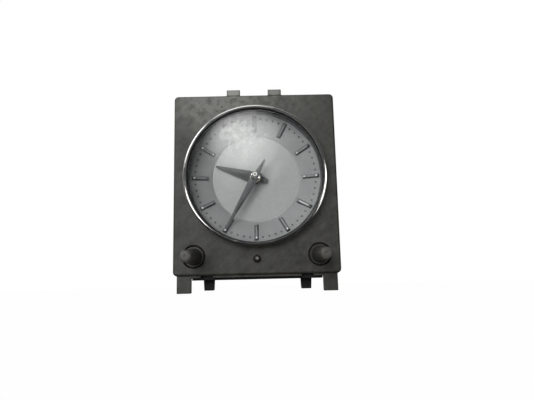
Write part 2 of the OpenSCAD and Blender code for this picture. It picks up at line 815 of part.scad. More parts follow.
module hour_wheel() {
    shift = pinion_shift(motion_pinion_teeth);
    color(gear_colour) stand() difference() {
        union() {
            slab(hour_wheel_z, hour_wheel_z + wheel_t)
                gear_outline(hour_wheel_teeth, hour_module, -shift, 90 + 180 / hour_wheel_teeth);
            rod(pipe_r, hour_wheel_z, hour_top);
        }
        rod(pipe_in_r, hour_wheel_z - eps, hour_top + eps);
    }
}

module minute_wheel() {
    shift = pinion_shift(inter_pinion_teeth);
    own_shift = pinion_shift(minute_pinion_teeth);
    color(brass_colour) stand() difference() {
        union() {
            slab(minute_wheel_z, minute_wheel_z + wheel_t)
                gear_outline(minute_wheel_teeth, minute_module, -shift, -90);
            slab(minute_wheel_z + wheel_t - eps, hour_wheel_z - mesh_over)
                gear_outline(minute_pinion_teeth, motion_module, own_shift, 90);
            rod(tube_r, minute_wheel_z, minute_top);
        }
        rod(tube_in_r, minute_wheel_z - eps, minute_top + eps);
    }
}

module motion_wheel() {
    shift = pinion_shift(minute_pinion_teeth);
    own_shift = pinion_shift(motion_pinion_teeth);
    color(gear_colour) stand() translate([0, motion_y, 0]) difference() {
        union() {
            slab(motion_wheel_z, motion_wheel_z + wheel_t)
                gear_outline(motion_wheel_teeth, motion_module, -shift, -90 + 180 / motion_wheel_teeth);
            slab(motion_wheel_z + wheel_t - eps, mplate_back - mesh_over)
                gear_outline(motion_pinion_teeth, hour_module, own_shift, -90);
        }
        rod(wheel_bore_r, motion_wheel_z - eps, mplate_back);
    }
}

module intermediate_wheel() {
    shift = pinion_shift(rotor_teeth);
    own_shift = pinion_shift(inter_pinion_teeth);
    color(gear_colour) stand() translate([0, inter_y, 0]) difference() {
        union() {
            slab(inter_wheel_z, inter_wheel_z + wheel_t)
                gear_outline(inter_wheel_teeth, rotor_module, -shift, -90);
            slab(inter_wheel_z + wheel_t - eps, minute_wheel_z + wheel_t + mesh_over)
                gear_outline(inter_pinion_teeth, minute_module, own_shift, 90 + 180 / inter_pinion_teeth);
        }
        rod(wheel_bore_r, inter_wheel_z - eps, motion_wheel_z);
    }
}

module rotor_pinion() {
    shift = pinion_shift(rotor_teeth);
    pinion_front = inter_wheel_z + wheel_t + mesh_over;
    color(brass_colour) stand() translate([0, rotor_y, 0]) difference() {
        union() {
            slab(inter_wheel_z - mesh_over, pinion_front)
                gear_outline(rotor_teeth, rotor_module, shift, 90 + 180 / rotor_teeth);
            rod(magnet_bore_r, pinion_front - eps, magnet_front);
        }
        rod(wheel_bore_r, inter_wheel_z - wheel_gap, magnet_front + eps);
    }
}

module rotor_magnet() {
    color([0.3, 0.3, 0.32]) stand() translate([0, rotor_y, 0])
        tube(magnet_bore_r, magnet_r, magnet_front - magnet_h, magnet_front);
}

module centre_post() {
    color(steel_colour) stand() rod(post_r, cover_front - cover_t / 2, hour_top);
}

module wheel_pins() {
    color(steel_colour) stand() for (y = [motion_y, inter_y, rotor_y]) translate([0, y, 0])
        rod(wheel_pin_r, cover_front - cover_t / 2, mplate_back + mplate_t / 2);
}

// Movement case and motor

module movement_outline() {
    round_rect([-move_half_w, move_bottom], [move_half_w, move_top], move_corner_r);
}

module stator_posts() {
    for (sx = [-1, 1]) translate([sx * (stator_w - arm_w) / 2, coil_y])
        rod(arm_w / 2 - seat_fit, stator_front, mplate_back + eps);
}

module movement_plate() {
    color([0.2, 0.2, 0.22]) stand() difference() {
        union() {
            slab(mplate_back, board_back) union() {
                movement_outline();
                for (at = ear_spots) translate(at) circle(ear_r);
            }
            rod(shaft_hole_r - seat_fit, board_back - eps, board_front);
            stator_posts();
        }
        rod(pipe_r + run_fit, mplate_back - eps, board_front + eps);
        for (y = [motion_y, inter_y, rotor_y]) translate([0, y, 0])
            rod(wheel_pin_r, mplate_back - eps, mplate_back + mplate_t / 2);
        for (at = ear_spots) translate(at)
            rod(small_screw_r + seat_fit, mplate_back - eps, board_back + eps);
        for (sx = [-1, 1]) translate([sx * (stator_w - arm_w) / 2, coil_y])
            rod(small_screw_r, stator_front - eps, mplate_back + mplate_t / 2);
    }
}

// Bosses that hold the pins behind the wheels: [height on the line, radius, level of the wheel's back]
function boss_list() = [
    [0, tube_r + tube_wall, minute_wheel_z],
    [motion_y, pin_boss_r, motion_wheel_z],
    [inter_y, pin_boss_r, inter_wheel_z],
    [rotor_y, pin_boss_r, inter_wheel_z - mesh_over]
];

module movement_cover() {
    inset = [cover_wall, cover_wall];
    low = [-move_half_w, move_bottom] + inset;
    high = [move_half_w, move_top] - inset;
    color([0.16, 0.16, 0.18]) stand() difference() {
        union() {
            difference() {
                slab(cover_back, mplate_back) movement_outline();
                slab(cover_front, mplate_back + eps) centred_rect((low + high) / 2, high - low);
            }
            for (b = boss_list()) translate([0, b[0], 0]) rod(b[1], cover_front - eps, b[2] - wheel_gap);
            for (at = ear_spots) translate(at) slab(mplate_back - ear_t, mplate_back) difference() {
                circle(ear_r);
                translate([-sign(at.x) * (ear_x - move_half_w + cover_wall / 2 + ear_r), 0])
                    centred_rect([0, 0], [2 * ear_r, 2 * ear_r]);
            }
        }
        for (y = [motion_y, inter_y, rotor_y]) translate([0, y, 0])
            rod(wheel_pin_r, cover_front - cover_t / 2, mplate_back);
        rod(post_r, cover_front - cover_t / 2, mplate_back);
        for (at = ear_spots) translate(at)
            rod(small_screw_r + seat_fit, mplate_back - ear_t - eps, mplate_back + eps);
    }
}

module stator() {
    hole_r = magnet_r + air_gap;
    bar_half = hole_r + stator_rim;
    arm_x = (stator_w - arm_w) / 2;
    arm_end = coil_y - core_h / 2;
    color([0.45, 0.45, 0.48]) stand() difference() {
        slab(stator_back, stator_front) {
            centred_rect([0, rotor_y], [stator_w, 2 * bar_half]);
            for (sx = [-1, 1])
                centred_rect([sx * arm_x, (rotor_y + arm_end) / 2], [arm_w, rotor_y - arm_end]);
        }
        translate([0, rotor_y, 0]) rod(hole_r, stator_back - eps, stator_front + eps);
        for (sx = [-1, 1]) translate([sx * arm_x, coil_y])
            rod(small_screw_r + seat_fit, stator_back - eps, stator_front + eps);
    }
}

module coil_core() {
    color([0.5, 0.5, 0.52]) stand() difference() {
        slab(core_back, stator_back) centred_rect([0, coil_y], [stator_w, core_h]);
        for (sx = [-1, 1]) translate([sx * (stator_w - arm_w) / 2, coil_y])
            rod(small_screw_r + seat_fit, core_back - eps, stator_back + eps);
    }
}

// Rectangle round the coil's core, grown by a margin
module core_section(margin) {
    centred_rect([coil_y, (core_back + stator_back) / 2], [core_h, stator_t] + [2, 2] * margin);
}

// Extrude a section of the coil sideways, centred on the middle
module along_coil(length) {
    translate([-length / 2, 0, 0]) rotate([90, 0, 90]) linear_extrude(length) children();
}

module coil_bobbin() {
    color([0.75, 0.72, 0.6]) stand() difference() {
        union() {
            along_coil(coil_len) core_section(seat_fit + bobbin_wall);
            for (sx = [-1, 1]) translate([sx * (coil_len - bobbin_wall) / 2, 0, 0]) along_coil(bobbin_wall)
                centred_rect([coil_y, (core_back + stator_back) / 2], [flange_h, flange_d]);
        }
        along_coil(coil_len + 2 * eps) core_section(seat_fit);
    }
}

module coil_winding() {
    color([0.72, 0.38, 0.2]) stand() along_coil(coil_len - 2 * bobbin_wall) difference() {
        centred_rect([coil_y, (core_back + stator_back) / 2], [flange_h, flange_d] - [1, 1] * bobbin_wall);
        core_section(seat_fit + bobbin_wall);
    }
}

module stator_screws() {
    color(steel_colour) stand() for (sx = [-1, 1]) translate([sx * (stator_w - arm_w) / 2, coil_y])
        screw(small_screw_r, small_head_r, small_head_h, core_back, mplate_back + mplate_t / 2);
}

module movement_screws() {
    color(steel_colour) stand() for (at = ear_spots) translate(at)
        screw(small_screw_r, small_head_r, small_head_h, mplate_back - ear_t, tray_back + tray_t / 2);
}

// Circuit board and what it carries

module circuit_board() {
    color([0.1, 0.35, 0.2]) stand() slab(board_back, board_front) difference() {
        translate([-board_half_w, board_bottom]) square([2 * board_half_w, board_top - board_bottom]);
        circle(shaft_hole_r);
        for (at = screw_spots) translate(at) circle(screw_r + seat_fit);
        for (at = ear_spots) translate(at) circle(small_screw_r + seat_fit);
    }
}

module backlight_leds() {
    color([0.95, 0.95, 0.85]) stand() for (turn = [0 : 90 : 270]) rotate(turn)
        slab(board_front, board_front + led_h) centred_rect([led_ring_r, 0], [led_side, led_side]);
}

module control_chip() {
    pitch = chip_l / chip_legs;
    color(black_colour) stand() translate([-parts_x, chip_y, 0]) {
        slab(board_back - chip_h, board_back - seat_fit) centred_rect([0, 0], [chip_w, chip_l]);
        for (i = [0 : chip_legs - 1]) slab(board_back - chip_h / 2, board_back)
            centred_rect([0, (i - (chip_legs - 1) / 2) * pitch], [chip_w + 2 * chip_reach, pitch / 2]);
    }
}

module quartz_crystal() {
    color(steel_colour) stand() translate([-parts_x, crystal_y - crystal_l / 2, board_back - crystal_r])
        rotate([-90, 0, 0]) cylinder(r = crystal_r, h = crystal_l);
}

module capacitors() {
    color([0.25, 0.26, 0.3]) stand() for (at = [[-parts_x, capacitor_y], [header_x, capacitor_low_y]])
        translate(at) rod(capacitor_r, board_back - capacitor_h, board_back);
}

module resistors() {
    color(black_colour) stand() translate([-parts_x, resistor_y]) for (i = [0 : resistor_count - 1])
        slab(board_back - resistor_h, board_back)
            centred_rect([(i - (resistor_count - 1) / 2) * resistor_pitch, 0], [resistor_w, resistor_l]);
}

module connector_header() {
    outer = [header_w, header_l];
    wall = [header_wall, header_wall];
    color([0.12, 0.12, 0.13]) stand() difference() {
        slab(case_back, board_back) centred_rect([header_x, header_y], outer);
        slab(case_back - eps, socket_floor) centred_rect([header_x, header_y], outer - 2 * wall);
        contact_row(socket_floor - eps, board_back + eps);
    }
}

// Row of square contacts between two levels
module contact_row(back, front) {
    pitch = (header_l - 2 * header_wall) / contact_count;
    translate([header_x, header_y]) for (i = [0 : contact_count - 1]) slab(back, front)
        centred_rect([0, (i - (contact_count - 1) / 2) * pitch], [contact_side, contact_side]);
}

module connector_pins() {
    color(brass_colour) stand() contact_row(socket_floor - contact_len, board_back);
}

// Push switches and set buttons, at x on one side

module push_switch(x) {
    color([0.14, 0.14, 0.15]) stand() translate([x, button_y, 0]) difference() {
        slab(board_front, switch_front) centred_rect([0, 0], [switch_side, switch_side]);
        rod(plunger_r + run_fit, board_front + switch_floor, switch_front + eps);
    }
}

module plunger(x) {
    color([0.85, 0.8, 0.7]) stand() translate([x, button_y, 0])
        rod(plunger_r, switch_front - plunger_in, button_end);
}

module set_button(x) {
    foot_z = -skirt_sink;
    tip_z = stem_len - stem_tip_r / 2;
    color([0.3, 0.295, 0.27]) stand() translate([x, button_y, 0]) rotate_extrude() polygon(concat(
        [[0, button_end], [button_tail_r, button_end], [button_tail_r, case_front - shoulder_t]],
        [[shoulder_r, case_front - shoulder_t], [shoulder_r, case_front], [button_r, case_front]],
        [[button_r, foot_z], [stem_foot_r, foot_z]],
        [for (a = [0 : 15 : 60]) [
            stem_tip_r / 2 * (1 + cos(a)), tip_z + stem_tip_r / 2 * sin(a)
        ]],
        [[dimple_r, stem_len], [0, stem_len - dimple_r / 2]]
    ));
}

module left_switch() { push_switch(-button_x); }
module right_switch() { push_switch(button_x); }
module left_plunger() { plunger(-button_x); }
module right_plunger() { plunger(button_x); }
module left_button() { set_button(-button_x); }
module right_button() { set_button(button_x); }

// Rear case

module case_clips() {
    clip_front = case_front - rail_depth / 2 - clip_t / 2;
    for (sx = [-1, 1]) translate([sx * clip_pitch / 2, rail_bottom]) slab(clip_front - clip_t, clip_front)
        polygon([
            [-clip_w / 2, rail_drop / 2], [-clip_w / 2, 0], [-clip_tip_w / 2, -clip_drop],
            [clip_tip_w / 2, -clip_drop], [clip_w / 2, 0], [clip_w / 2, rail_drop / 2]
        ]);
}

module case_ribs() {
    pitch = (case_top - case_bottom) / (rib_count + 1);
    rib_x = case_half_w + rib_h - case_wall / 2;
    for (sx = [-1, 1], i = [1 : 1 : rib_count]) slab(case_back + case_corner_r, case_front - case_wall)
        centred_rect([sx * rib_x, case_bottom + i * pitch], [case_wall, rib_w]);
}

module case_vents() {
    vent_y = case_top - vent_top - vent_l / 2;
    for (i = [0 : 1 : vent_count - 1]) slab(case_back - eps, case_in + eps)
        centred_rect([(i - (vent_count - 1) / 2) * vent_pitch, vent_y], [vent_w, vent_l]);
}

module rear_case() {
    wall = [case_wall, case_wall];
    low = [-case_half_w, case_bottom];
    high = [case_half_w, case_top];
    window = [header_w, header_l] + [2, 2] * seat_fit;
    color(black_colour) stand() difference() {
        union() {
            difference() {
                slab(case_back, case_front) round_rect(low, high, case_corner_r);
                slab(case_in, case_front + eps)
                    round_rect(low + wall, high - wall, case_corner_r - case_wall);
            }
            slab(case_front - rail_depth, case_front)
                translate([-rail_w / 2, rail_bottom]) square([rail_w, room_bottom - rail_bottom]);
            case_clips();
            case_ribs();
            for (at = screw_spots) translate(at) rod(column_r, case_back, board_back);
        }
        for (at = screw_spots) translate(at) {
            rod(screw_head_r + seat_fit, case_back - eps, screw_seat);
            rod(screw_r + seat_fit, case_back - eps, board_back + eps);
        }
        slab(case_back - eps, case_in + eps) centred_rect([header_x, header_y], window);
        case_vents();
        slab(case_back - eps, case_back + panel_sink)
            round_rect([-panel_w, -panel_h] / 2, [panel_w, panel_h] / 2, plate_corner_r);
    }
}

module case_screws() {
    color(steel_colour) stand() for (at = screw_spots) translate(at)
        screw(screw_r, screw_head_r, screw_head_h, screw_seat, board_front + screw_bite);
}

front_plate();
chrome_bezel();
lens();
lens_gasket();
spacer_ring();
dial_ring();
dial_centre();
hour_markers();
light_guide();
reflector_tray();
hour_hand();
minute_hand();
hand_cap();
hour_wheel();
minute_wheel();
motion_wheel();
intermediate_wheel();
rotor_pinion();
rotor_magnet();
centre_post();
wheel_pins();
movement_plate();
movement_cover();
stator();
coil_core();
coil_bobbin();
coil_winding();
stator_screws();
movement_screws();
circuit_board();
backlight_leds();
control_chip();
quartz_crystal();
capacitors();
resistors();
connector_header();
connector_pins();
left_switch();
right_switch();
left_plunger();
right_plunger();
left_button();
right_button();
rear_case();
case_screws();
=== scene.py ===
# %% [markdown]
# # A car dashboard clock
# This clock sat in the middle of a dashboard: a grey moulded plate, a chrome ring round a silver
# dial, two long set buttons, and a black case behind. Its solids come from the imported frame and
# stay exactly where they are. This lesson gives them their looks: rounded edges, turned rings,
# repeated trim grown with Geometry Nodes, and a procedural finish for every surface.

# %% Load the frame
import math

import bmesh
import bpy
from mathutils import Matrix, Vector


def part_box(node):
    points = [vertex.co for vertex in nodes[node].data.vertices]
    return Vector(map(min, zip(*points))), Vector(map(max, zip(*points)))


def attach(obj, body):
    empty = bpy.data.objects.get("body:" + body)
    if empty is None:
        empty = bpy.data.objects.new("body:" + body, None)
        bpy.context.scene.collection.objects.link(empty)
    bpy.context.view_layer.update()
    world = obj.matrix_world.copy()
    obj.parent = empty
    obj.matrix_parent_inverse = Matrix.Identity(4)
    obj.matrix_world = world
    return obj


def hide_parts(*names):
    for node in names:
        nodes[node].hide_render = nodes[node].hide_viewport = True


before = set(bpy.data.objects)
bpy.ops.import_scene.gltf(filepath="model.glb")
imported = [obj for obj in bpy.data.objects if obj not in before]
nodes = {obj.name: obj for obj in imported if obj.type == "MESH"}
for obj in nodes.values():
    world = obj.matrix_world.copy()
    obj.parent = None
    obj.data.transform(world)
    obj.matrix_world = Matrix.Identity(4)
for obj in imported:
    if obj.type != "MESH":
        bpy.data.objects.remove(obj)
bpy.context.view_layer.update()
MM = 0.001

# %% [markdown]
# ## The camera
# The photo was taken close to the clock and from a little below its middle, so the camera looks up
# and the plate narrows towards its top. The place, the turn and the focal length were worked out
# from the plate's corners, taking the plate to be about 70 mm wide.

# %% Place the camera
image_w = 533
focal_px = 415.1
sensor_w = 36.0
eye = Vector((2.93, -175.27, -37.37)) * MM
eye_turn = (98.65, 1.32, -0.33)

camera_data = bpy.data.cameras.new("hand_camera")
camera_data.sensor_width = sensor_w
camera_data.lens = focal_px / image_w * sensor_w
camera_data.clip_start = 5 * MM
camera = bpy.data.objects.new("hand_camera", camera_data)
camera.location = eye
camera.rotation_euler = [math.radians(angle) for angle in eye_turn]
bpy.context.scene.collection.objects.link(camera)
bpy.context.scene.camera = camera
bpy.context.scene.view_settings.view_transform = "Standard"
print("focal length in mm:", round(camera_data.lens, 2))

# %% [markdown]
# ## Building node trees
# Every finish, the room and the repeated trim are node trees. One small helper adds a node, sets
# its options, and sets or links its inputs. An output is wrapped as a value that can be added,
# multiplied, stretched and used to mix colours, so that a tree reads like a sum.

# %% Node helpers
def feed(tree, made, inputs):
    """Link each input that is given as a socket or a value, and set the others."""
    for name, given in inputs.items():
        source = getattr(given, "socket", given)
        if isinstance(source, bpy.types.NodeSocket):
            tree.links.new(source, made.inputs[name])
        else:
            made.inputs[name].default_value = source


def node(tree, kind, inputs=None, **options):
    """Add a node of this kind with its options and its inputs."""
    made = tree.nodes.new(kind)
    for option, setting in options.items():
        setattr(made, option, setting)
    feed(tree, made, inputs or {})
    return made


print("node helpers ready")

# %% Values in a tree
class Value:
    """An output in a node tree, to work out others from."""

    def __init__(self, tree, socket):
        self.tree = tree
        self.socket = socket

    def __add__(self, other):
        return value(self.tree, "ShaderNodeMath", {0: self, 1: other}, operation="ADD")

    def __mul__(self, other):
        return value(self.tree, "ShaderNodeMath", {0: self, 1: other}, operation="MULTIPLY")

    def level(self, low, high, to_low=0.0, to_high=1.0):
        """Stretch the part between low and high over a new range, held at its ends."""
        ends = {"Value": self, "From Min": low, "From Max": high, "To Min": to_low, "To Max": to_high}
        return value(self.tree, "ShaderNodeMapRange", ends, "Result", clamp=True)

    def tint(self, colour, other):
        """Mix two colours, each a value or a red, green and blue triple."""
        inputs = {0: self}
        for place, given in ((6, colour), (7, other)):
            inputs[place] = (*given, 1.0) if isinstance(given, tuple) else given
        return value(self.tree, "ShaderNodeMix", inputs, 2, data_type="RGBA")


def value(tree, kind, inputs=None, out=0, **options):
    """One output of a new node."""
    return Value(tree, node(tree, kind, inputs, **options).outputs[out])


print("values can be added, multiplied, stretched and mixed")

# %% Shaders in a tree
def new_finish(name, shaded=True):
    """Start a finish: its material and its node tree, with or without the usual shader."""
    material = bpy.data.materials.new(name)
    material.use_nodes = True
    tree = material.node_tree
    if not shaded:
        tree.nodes.remove(tree.nodes["Principled BSDF"])
    return material, tree


def mixed(tree, share, shader, other):
    """Mix two shaders."""
    return node(tree, "ShaderNodeMixShader", {0: share, 1: shader.outputs[0], 2: other.outputs[0]})


def show(tree, shader):
    """Make this shader the one that the surface shows."""
    feed(tree, tree.nodes["Material Output"], {"Surface": shader.outputs[0]})


print("shader helpers ready")

# %% [markdown]
# ## The room
# The clock is shown on plain white. The world looks white to the camera and in mirrors, and lights
# the clock at a lower, plain level. The floor lies well below, as the clock hangs by its mounts.

# %% White room
white = (1, 1, 1, 1)
ambient = 0.32


def seen_directly(tree, unseen, seen):
    """One value for rays from the camera, from mirrors and through glass, and one for other light."""
    path = node(tree, "ShaderNodeLightPath").outputs
    rays = Value(tree, path["Is Camera Ray"]) + path["Is Glossy Ray"] + path["Is Transmission Ray"]
    return rays.level(0, 1, unseen, seen)


world = bpy.data.worlds.new("white_room")
world.use_nodes = True
room = world.node_tree
feed(room, room.nodes["Background"], {"Strength": seen_directly(room, ambient, 1.0), "Color": white})
bpy.context.scene.world = world
print("room light:", ambient)

# %% Floor
floor_z = -0.2
floor_half = 3.0
floor_grey = (0.9, 0.9, 0.9, 1)
floor_white = 0.93
floor_glow = 1.04


def add_piece(name, mesh):
    """Put a mesh or a lamp in the scene, at the origin."""
    piece = bpy.data.objects.new(name, mesh)
    bpy.context.scene.collection.objects.link(piece)
    return piece


def card(name, centre, half_w, half_h, aim):
    """A flat card that faces a point."""
    mesh = bpy.data.meshes.new(name)
    corners = [(-half_w, -half_h, 0), (half_w, -half_h, 0), (half_w, half_h, 0), (-half_w, half_h, 0)]
    mesh.from_pydata(corners, [], [(0, 1, 2, 3)])
    made = add_piece(name, mesh)
    made.location = centre
    made.rotation_euler = (Vector(aim) - Vector(centre)).to_track_quat("Z", "Y").to_euler()
    return made


floor = card("floor", (0, 0, floor_z), floor_half, floor_half, (0, 0, 1))
floor_finish, floor_tree = new_finish("white floor", shaded=False)
matt_floor = node(floor_tree, "ShaderNodeBsdfDiffuse", {"Color": floor_grey})
bright_floor = node(floor_tree, "ShaderNodeEmission", {"Color": white, "Strength": floor_glow})
show(floor_tree, mixed(floor_tree, seen_directly(floor_tree, 0, floor_white), matt_floor, bright_floor))
floor.data.materials.append(floor_finish)
print("floor at", floor_z, "m")

# %% [markdown]
# ## Lamp, dark tent and pale cards
# A soft lamp stands to the left and a little up, so the hands' shadows fall to the lower right. The
# chrome mirrors the camera's side of the room. A dark tent leans in there from the lower right. It
# is paler higher up and open at the top. Pale cards hang in it: three that draw the bright lines on
# the ring, and two more for the arcs on the hub. Only mirrors show them, and the metal behind the
# lens doesn't mirror the left and top cards.

# %% Soft lamp
lamp_watts = 3.35
lamp_size = 0.5
lamp_at = (-0.26, -0.6, 0.22)
lamp_data = bpy.data.lights.new("soft_lamp", "AREA")
lamp_data.shape = "DISK"
lamp_data.size = lamp_size
lamp_data.energy = lamp_watts
lamp = add_piece("soft_lamp", lamp_data)
lamp.location = lamp_at
lamp.rotation_euler = (-lamp.location).to_track_quat("-Z", "Y").to_euler()
lamp.visible_transmission = False
print("lamp of", lamp_watts, "W")

# %% Dark tent
tent_r = 0.19
tent_reach = math.radians(118)
tent_axis = (20, -38)
tent_steps = (72, 48)
tent_rise = (-0.3 * tent_r, 0.6 * tent_r)
tent_light = (0.02, 0.1)


def ahead(right, up):
    """The direction this many degrees to the right of and above straight ahead of the dial."""
    side = math.radians(right)
    rise = math.radians(up)
    return Vector((math.sin(side) * math.cos(rise), -math.cos(side) * math.cos(rise), math.sin(rise)))


def along(tree, axis, of="Object"):
    """One axis of the piece's own coordinates, or of its normal."""
    place = value(tree, "ShaderNodeTexCoord", out=of)
    return value(tree, "ShaderNodeSeparateXYZ", {0: place}, axis)


def shining(name, strength_in):
    """A finish that only shines, with a strength that is worked out in its tree."""
    material, tree = new_finish(name, shaded=False)
    show(tree, node(tree, "ShaderNodeEmission", {"Strength": strength_in(tree)}))
    return material


def rising(tree):
    """The tent's own light, which is paler higher up."""
    return along(tree, "Z").level(*tent_rise, *tent_light)


def only_in_mirrors(made):
    """Hide a thing from everything but mirror rays and rays through the lens."""
    made.visible_camera = False
    made.visible_diffuse = False
    made.visible_shadow = False


def add_drawn(name, bm):
    """Put a drawn shape in the scene, at the origin."""
    mesh = bpy.data.meshes.new(name)
    bm.to_mesh(mesh)
    bm.free()
    return add_piece(name, mesh)


def dark_tent(axis):
    """A part of a ball round the clock that reaches out evenly from an axis."""
    bm = bmesh.new()
    bmesh.ops.create_uvsphere(bm, u_segments=tent_steps[0], v_segments=tent_steps[1], radius=tent_r)
    outside = [v for v in bm.verts if v.co.normalized().dot(axis) < math.cos(tent_reach)]
    bmesh.ops.delete(bm, geom=outside, context="VERTS")
    made = add_drawn("black_tent", bm)
    made.data.materials.append(shining("tent grey", rising))
    only_in_mirrors(made)


dark_tent(ahead(*tent_axis))
print("tent light:", tent_light)

# %% Pale cards
card_r = 0.18
card_edge = 0.06
hidden_from_lens = ("left_card", "top_card")
# Name, degrees right and up, half width and height in metres, strength, and the share that is even
pale_cards = [
    ("left_card", -32, -3, 0.062, 0.03, 2.4, 0.7),
    ("right_card", 36, 6, 0.062, 0.034, 2.4, 0.65),
    ("top_card", -14, 52, 0.075, 0.03, 1.5, 0.5),
    ("low_card", 48, -9, 0.03, 0.032, 2.2, 0.6),
    ("hub_card", -45, 30, 0.05, 0.05, 2.2, 0.6),
]


def placed(tree, unit, centre=(0, 0, 0), turn=0.0):
    """The piece's own coordinates, counted from a centre in a unit for each axis, turned about Y."""
    inputs = {"Vector": value(tree, "ShaderNodeTexCoord", out="Object"), "Location": centre,
              "Rotation": (0, math.radians(turn), 0), "Scale": unit}
    return value(tree, "ShaderNodeMapping", inputs, vector_type="TEXTURE")


def far_out(tree, unit, centre=(0, 0, 0)):
    """How far a place is from a centre, in a unit for each axis."""
    return value(tree, "ShaderNodeVectorMath", {0: placed(tree, unit, centre)}, "Value", operation="LENGTH")


def glow(name, strength, half_w, half_h, core):
    """A light that is even out to its core and fades away at its edge."""
    def fade(tree):
        return far_out(tree, (half_w, half_h, 1)).level(core, 1.0, strength, card_edge)
    return shining(name, fade)


for name, right, up, half_w, half_h, strength, core in pale_cards:
    pale = card(name, ahead(right, up) * card_r, half_w, half_h, (0, 0, 0))
    pale.data.materials.append(glow(name, strength, half_w, half_h, core))
    only_in_mirrors(pale)
    pale.visible_transmission = name not in hidden_from_lens
print("pale cards:", len(pale_cards))

# %% [markdown]
# ## Finishes
# A finish is never one flat colour. Each has a colour that drifts, a gloss that varies and a fine
# relief. The patterns read the piece's own coordinates in millimetres, so they have a real size
# and stay on the piece when it moves. The helpers give the patterns: noise with blobs of a set
# size, a round patch that fades out from a point, and scattered specks.

# %% Pattern helpers
def noise(tree, size, detail=2.0, turn=0.0):
    """Noise whose blobs have this size in mm, one number or one for each axis, turned about Y."""
    sizes = size if isinstance(size, tuple) else (size, size, size)
    place = placed(tree, [each * MM for each in sizes], turn=turn)
    return value(tree, "ShaderNodeTexNoise", {"Vector": place, "Scale": 1.0, "Detail": detail}, "Fac")


def patch(tree, x, z, radius, core=0.0):
    """One near a point of the front, given in mm, fading to zero at the radius."""
    far = far_out(tree, (radius * MM, 1.0, radius * MM), centre=(x * MM, 0, z * MM))
    return far.level(core, 1.0, 1.0, 0.0)


def specks(tree, spacing, radius, share):
    """One on scattered round specks, with this spacing and radius in mm, on a share of the places."""
    place = placed(tree, (spacing * MM, 1.0, spacing * MM))
    cells = node(tree, "ShaderNodeTexVoronoi", {"Vector": place, "Scale": 1.0}).outputs
    dot = Value(tree, cells["Distance"]).level(0.6 * radius / spacing, radius / spacing, 1.0, 0.0)
    lot = value(tree, "ShaderNodeSeparateColor", {0: cells["Color"]})
    return dot * value(tree, "ShaderNodeMath", {0: lot, 1: share}, operation="LESS_THAN")


def uneven(pattern, low, high):
    """A value that follows a noise pattern between two ends."""
    return pattern.level(0.3, 0.7, low, high)


def coat(material, colour, rough, relief=None, depth=0.0, bare=0.0, gloss=0.5):
    """Give a finish its colour, roughness, share of bare metal and a relief of this depth in mm."""
    tree = material.node_tree
    shader = tree.nodes["Principled BSDF"]
    feed(tree, shader, {"Base Color": colour, "Roughness": rough, "Metallic": bare,
                        "Specular IOR Level": gloss})
    if relief:
        bump = {"Height": relief, "Distance": depth * MM, "Strength": 1.0}
        feed(tree, shader, {"Normal": value(tree, "ShaderNodeBump", bump)})
    return material


finishes = {}
print("pattern helpers ready")

# %% [markdown]
# ## Plain mouldings and metals
# Most inner pieces are moulded plastic or worked metal. A moulding has faint flow clouds and the
# grain of its mould. A metal has faint streaks from rolling or turning. One function makes each
# kind, and the pieces differ by colour, gloss and the size of the grain.

# %% Mouldings and metals
def drifting(tree, colour, drift, size, detail):
    """A colour that drifts between a darker and a lighter tone, in clouds of this size in mm."""
    dark = tuple(part * (1 - drift) for part in colour)
    light = tuple(part * (1 + drift) for part in colour)
    return noise(tree, size, detail).level(0.35, 0.65).tint(dark, light)


def moulding(name, colour, rough=0.5, grain=0.35, depth=0.01, gloss=0.4, drift=0.18):
    """Moulded plastic with flow clouds and the fine grain of the mould."""
    material, tree = new_finish(name)
    fine = noise(tree, grain)
    clouded = drifting(tree, colour, drift, size=7.0, detail=4)
    return coat(material, clouded, uneven(fine, rough - 0.06, rough + 0.06), fine, depth, gloss=gloss)


def metal(name, colour, rough=0.3, streak=(6.0, 0.12, 0.12), depth=0.003, drift=0.1, bare=1.0):
    """Worked metal, bare or partly lacquered, with fine streaks in its gloss and faint stains."""
    material, tree = new_finish(name)
    line = noise(tree, streak)
    stained = drifting(tree, colour, drift, size=3.0, detail=3)
    return coat(material, stained, uneven(line, rough - 0.08, rough + 0.08), line, depth, bare)


finishes["gasket_rubber"] = moulding("soft black rubber", (0.012, 0.012, 0.012), rough=0.75, gloss=0.25)
finishes["black_plastic"] = moulding("matt black moulding", (0.012, 0.012, 0.013), rough=0.62, gloss=0.2)
finishes["tray_white"] = moulding("white moulding", (0.72, 0.72, 0.69), drift=0.05)
finishes["gear_plastic"] = moulding("ivory gear plastic", (0.66, 0.62, 0.5), rough=0.42, drift=0.06)
finishes["movement_plastic"] = moulding("dark movement moulding", (0.05, 0.052, 0.056), rough=0.45)
finishes["bobbin_plastic"] = moulding("amber bobbin plastic", (0.38, 0.2, 0.07), rough=0.4)
finishes["chip_black"] = moulding("chip epoxy", (0.016, 0.016, 0.017), rough=0.55, grain=0.12)
finishes["lamp_white"] = moulding("milky lamp lens", (0.82, 0.83, 0.8), rough=0.25, drift=0.03)
finishes["plunger_cream"] = moulding("cream plunger plastic", (0.7, 0.62, 0.44), rough=0.4, drift=0.06)
finishes["brass"] = metal("turned brass", (0.72, 0.52, 0.22), rough=0.25)
finishes["steel"] = metal("zinc plated steel", (0.56, 0.57, 0.58))
finishes["stator_iron"] = metal("rolled stator iron", (0.36, 0.37, 0.39), rough=0.4)
finishes["magnet_grey"] = metal("sintered magnet", (0.13, 0.13, 0.14), rough=0.5, streak=(0.3, 0.3, 0.3))
finishes["capacitor_can"] = metal("capacitor can", (0.62, 0.63, 0.65), rough=0.24)
print("plain finishes:", len(finishes))

